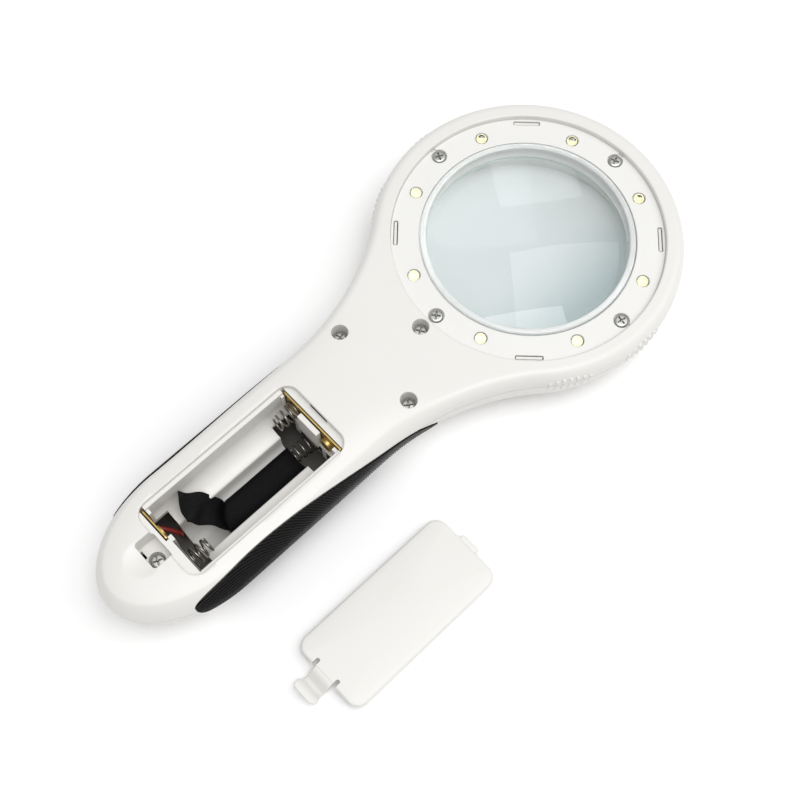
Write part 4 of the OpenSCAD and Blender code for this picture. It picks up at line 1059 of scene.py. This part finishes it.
metal = dict(Metallic=1.0)
plain = {  # for each slot: material name, lighter and darker colour, gloss, noise, other shader settings
    "shell_plastic": ("whiteShell", (0.752, 0.74, 0.712), (0.722, 0.71, 0.68),
                      (0.28, 0.38), (45, 1800, 0.03)),
    "ring_plastic": ("whiteRing", (0.775, 0.77, 0.752), (0.745, 0.74, 0.717),
                     (0.28, 0.4), (60, 2200, 0.04)),
    "grip_rubber": ("blackRubber", (0.003, 0.003, 0.003), (0.0015, 0.0015, 0.0015),
                    (0.22, 0.36), (120, 5000, 0.12), dict(Specular_IOR_Level=0.06)),
    "screw_steel": ("platedSteel", (0.6, 0.6, 0.58), (0.46, 0.46, 0.44),
                    (0.2, 0.4), (600, 4000, 0.08), metal),
    "spring_steel": ("springWire", (0.34, 0.325, 0.29), (0.22, 0.21, 0.185),
                     (0.14, 0.26), (700, 5000, 0.06), metal),
    "contact_brass": ("contactBrass", (0.62, 0.46, 0.17), (0.46, 0.33, 0.11),
                      (0.2, 0.4), (260, 3500, 0.06), metal),
    # contact steel kept dark: partly the plates' own colour, partly painted shade behind the springs
    "contact_steel": ("contactSteel", (0.17, 0.16, 0.15), (0.1, 0.095, 0.09),
                      (0.25, 0.45), (260, 3500, 0.06), metal),
    "board": ("boardLacquer", (0.7, 0.7, 0.67), (0.64, 0.64, 0.6), (0.3, 0.5), (200, 2600, 0.1)),
    "phosphor": ("lampPhosphor", (0.88, 0.85, 0.56), (0.8, 0.76, 0.42), (0.45, 0.7), (800, 6000, 0.2)),
    "red_wire": ("redWire", (0.26, 0.016, 0.012), (0.18, 0.011, 0.009), (0.35, 0.5), (300, 3000, 0.06)),
    "black_wire": ("blackWire", (0.02, 0.02, 0.02), (0.012, 0.012, 0.012), (0.35, 0.5), (300, 3000, 0.06)),
    "resistor_body": ("resistorBody", (0.5, 0.36, 0.2), (0.4, 0.28, 0.15), (0.4, 0.6), (400, 3000, 0.08)),
}
finishes = {slot: grained(*row[:5], **dict(*row[5:])) for slot, row in plain.items()}
# painted shade: the marked faces inside the handle and the tongue's slot take a near-black colour
where("inside", (0.075, 0.068, 0.06), finishes["shell_plastic"])
# painted highlight along the tops of the grip's ribs
where("paintedRidgeHighlight", (0.022, 0.022, 0.021), finishes["grip_rubber"])
# painted shade on the chips' flange round the phosphor dot
where("inside", (0.06, 0.05, 0.035), finishes["phosphor"])
finishes["clear_plastic"] = clear(
    "clearRing", (0.97, 0.98, 0.97), (0.93, 0.95, 0.94), 0.04, (0.95, 0.96, 0.96), IOR=1.3,
    Transmission_Weight=0.5, Coat_Weight=0.6)
finishes["lamp_clear"] = clear(
    "lampDome", (0.98, 0.98, 0.96), (0.95, 0.95, 0.93), 0.03, (0.96, 0.96, 0.95), IOR=1.45)
finishes["lens_glass"] = lensFinish()
finishes["ribbon_cloth"] = tapeFinish()
print("finishes ready")

# What each piece stands for, its finish and the body it moves with

pieces = [
    (backPiece, "back_shell", "shell_plastic"), (frontPiece, "front_shell", "shell_plastic"),
    (platePiece, "lamp_ring_plate", "ring_plastic"), (ringScrewPiece, "ring_screws", "screw_steel"),
    (caseScrewPiece, "case_screws", "screw_steel"), (domePiece, "lamp_domes", "clear_plastic"),
    (chipPiece, "lamp_chips", "phosphor"), (retainerPiece, "lens_retainer", "clear_plastic"),
    (lensPiece, "lens", "lens_glass"), (leftGripPiece, "left_grip", "grip_rubber"),
    (rightGripPiece, "right_grip", "grip_rubber"), (headSpring, "head_spring", "spring_steel"),
    (wellSpring, "well_spring", "spring_steel"), (buttSpring, "butt_spring", "spring_steel"),
    (ribbonPiece, "pull_ribbon", "ribbon_cloth"), (positiveWire, "positive_wire", "red_wire"),
    (headStrip, "head_contact_strip", "contact_brass"),
    (positivePlate, "butt_positive_plate", "contact_brass"), (coverPiece, "battery_cover", "shell_plastic"),
]


def coat(piece, finish):
    piece.data.materials.clear()
    piece.data.materials.append(finishes[finish])


for piece, stands, finish in pieces:
    coat(piece, "lamp_clear" if piece is domePiece else finish)
    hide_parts(stands)
    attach(piece, "cover" if piece is coverPiece else "magnifier")
standIns = {stands for _, stands, _ in pieces}
for part in record["subparts"]:  # pieces carried over from the construction model
    if part["node"] not in standIns:
        coat(frame["nodes"][part["node"]], part["material_slot"])

# Floor, light and camera


lighting = dict(  # strength of the world; place, width and power of each square lamp
    world=0.5, key=((0.5, -0.42, 1.1), 1.3, 7.4), fill=((-0.12, -0.2, 1.2), 0.8, 6.6))
view = dict(lens=56.25, sensor=36.0, right=(0.7263, -0.6874, 0.0029), up=(0.6394, 0.6771, 0.3642),
            back=(-0.2523, -0.2627, 0.9313), place=(-0.0909, -0.0908, 0.3323))
floorReach = 3000.0


def aim(holder, *axes):  # sets right, up, back and place of a lamp or camera
    holder.matrix_world = Matrix([*np.column_stack(axes).tolist(), (0, 0, 0, 1)])


def softLight(name):  # square lamp turned to the middle of the object
    place, size, power = lighting[name]
    lit = bpy.data.lights.new(name, "AREA")
    lit.shape, lit.size, lit.energy = "SQUARE", size, power
    back = unit(np.array(place))
    right = unit(np.cross([0.01, 0.0, 1.0], back))
    aim(put(name, lit), right, np.cross(back, right), back, place)


def studio():
    corners = floorReach * np.array([[-1, -1, 0], [1, -1, 0], [1, 1, 0], [-1, 1, 0]])
    floor = meshObject("floor", corners, [(0, 1, 2, 3)])
    floor.data.materials.append(
        grained("paleFloor", (0.95, 0.95, 0.95), (0.935, 0.935, 0.935), (0.7, 0.85), (4, 60, 0.0)))
    world = bpy.data.worlds.new("studio")
    world.use_nodes = True
    sky = world.node_tree.nodes["Background"]
    sky.inputs["Color"].default_value = (1, 1, 1, 1)
    sky.inputs["Strength"].default_value = lighting["world"]
    bpy.context.scene.world = world
    softLight("key")
    softLight("fill")
    bpy.context.scene.view_settings.view_transform = "Standard"


def camera():
    data = bpy.data.cameras.new("photo view")
    data.lens, data.sensor_width = view["lens"], view["sensor"]
    holder = put("photo view", data)
    aim(holder, view["right"], view["up"], view["back"], view["place"])
    bpy.context.scene.camera = holder


studio()
camera()
print("studio and camera ready")
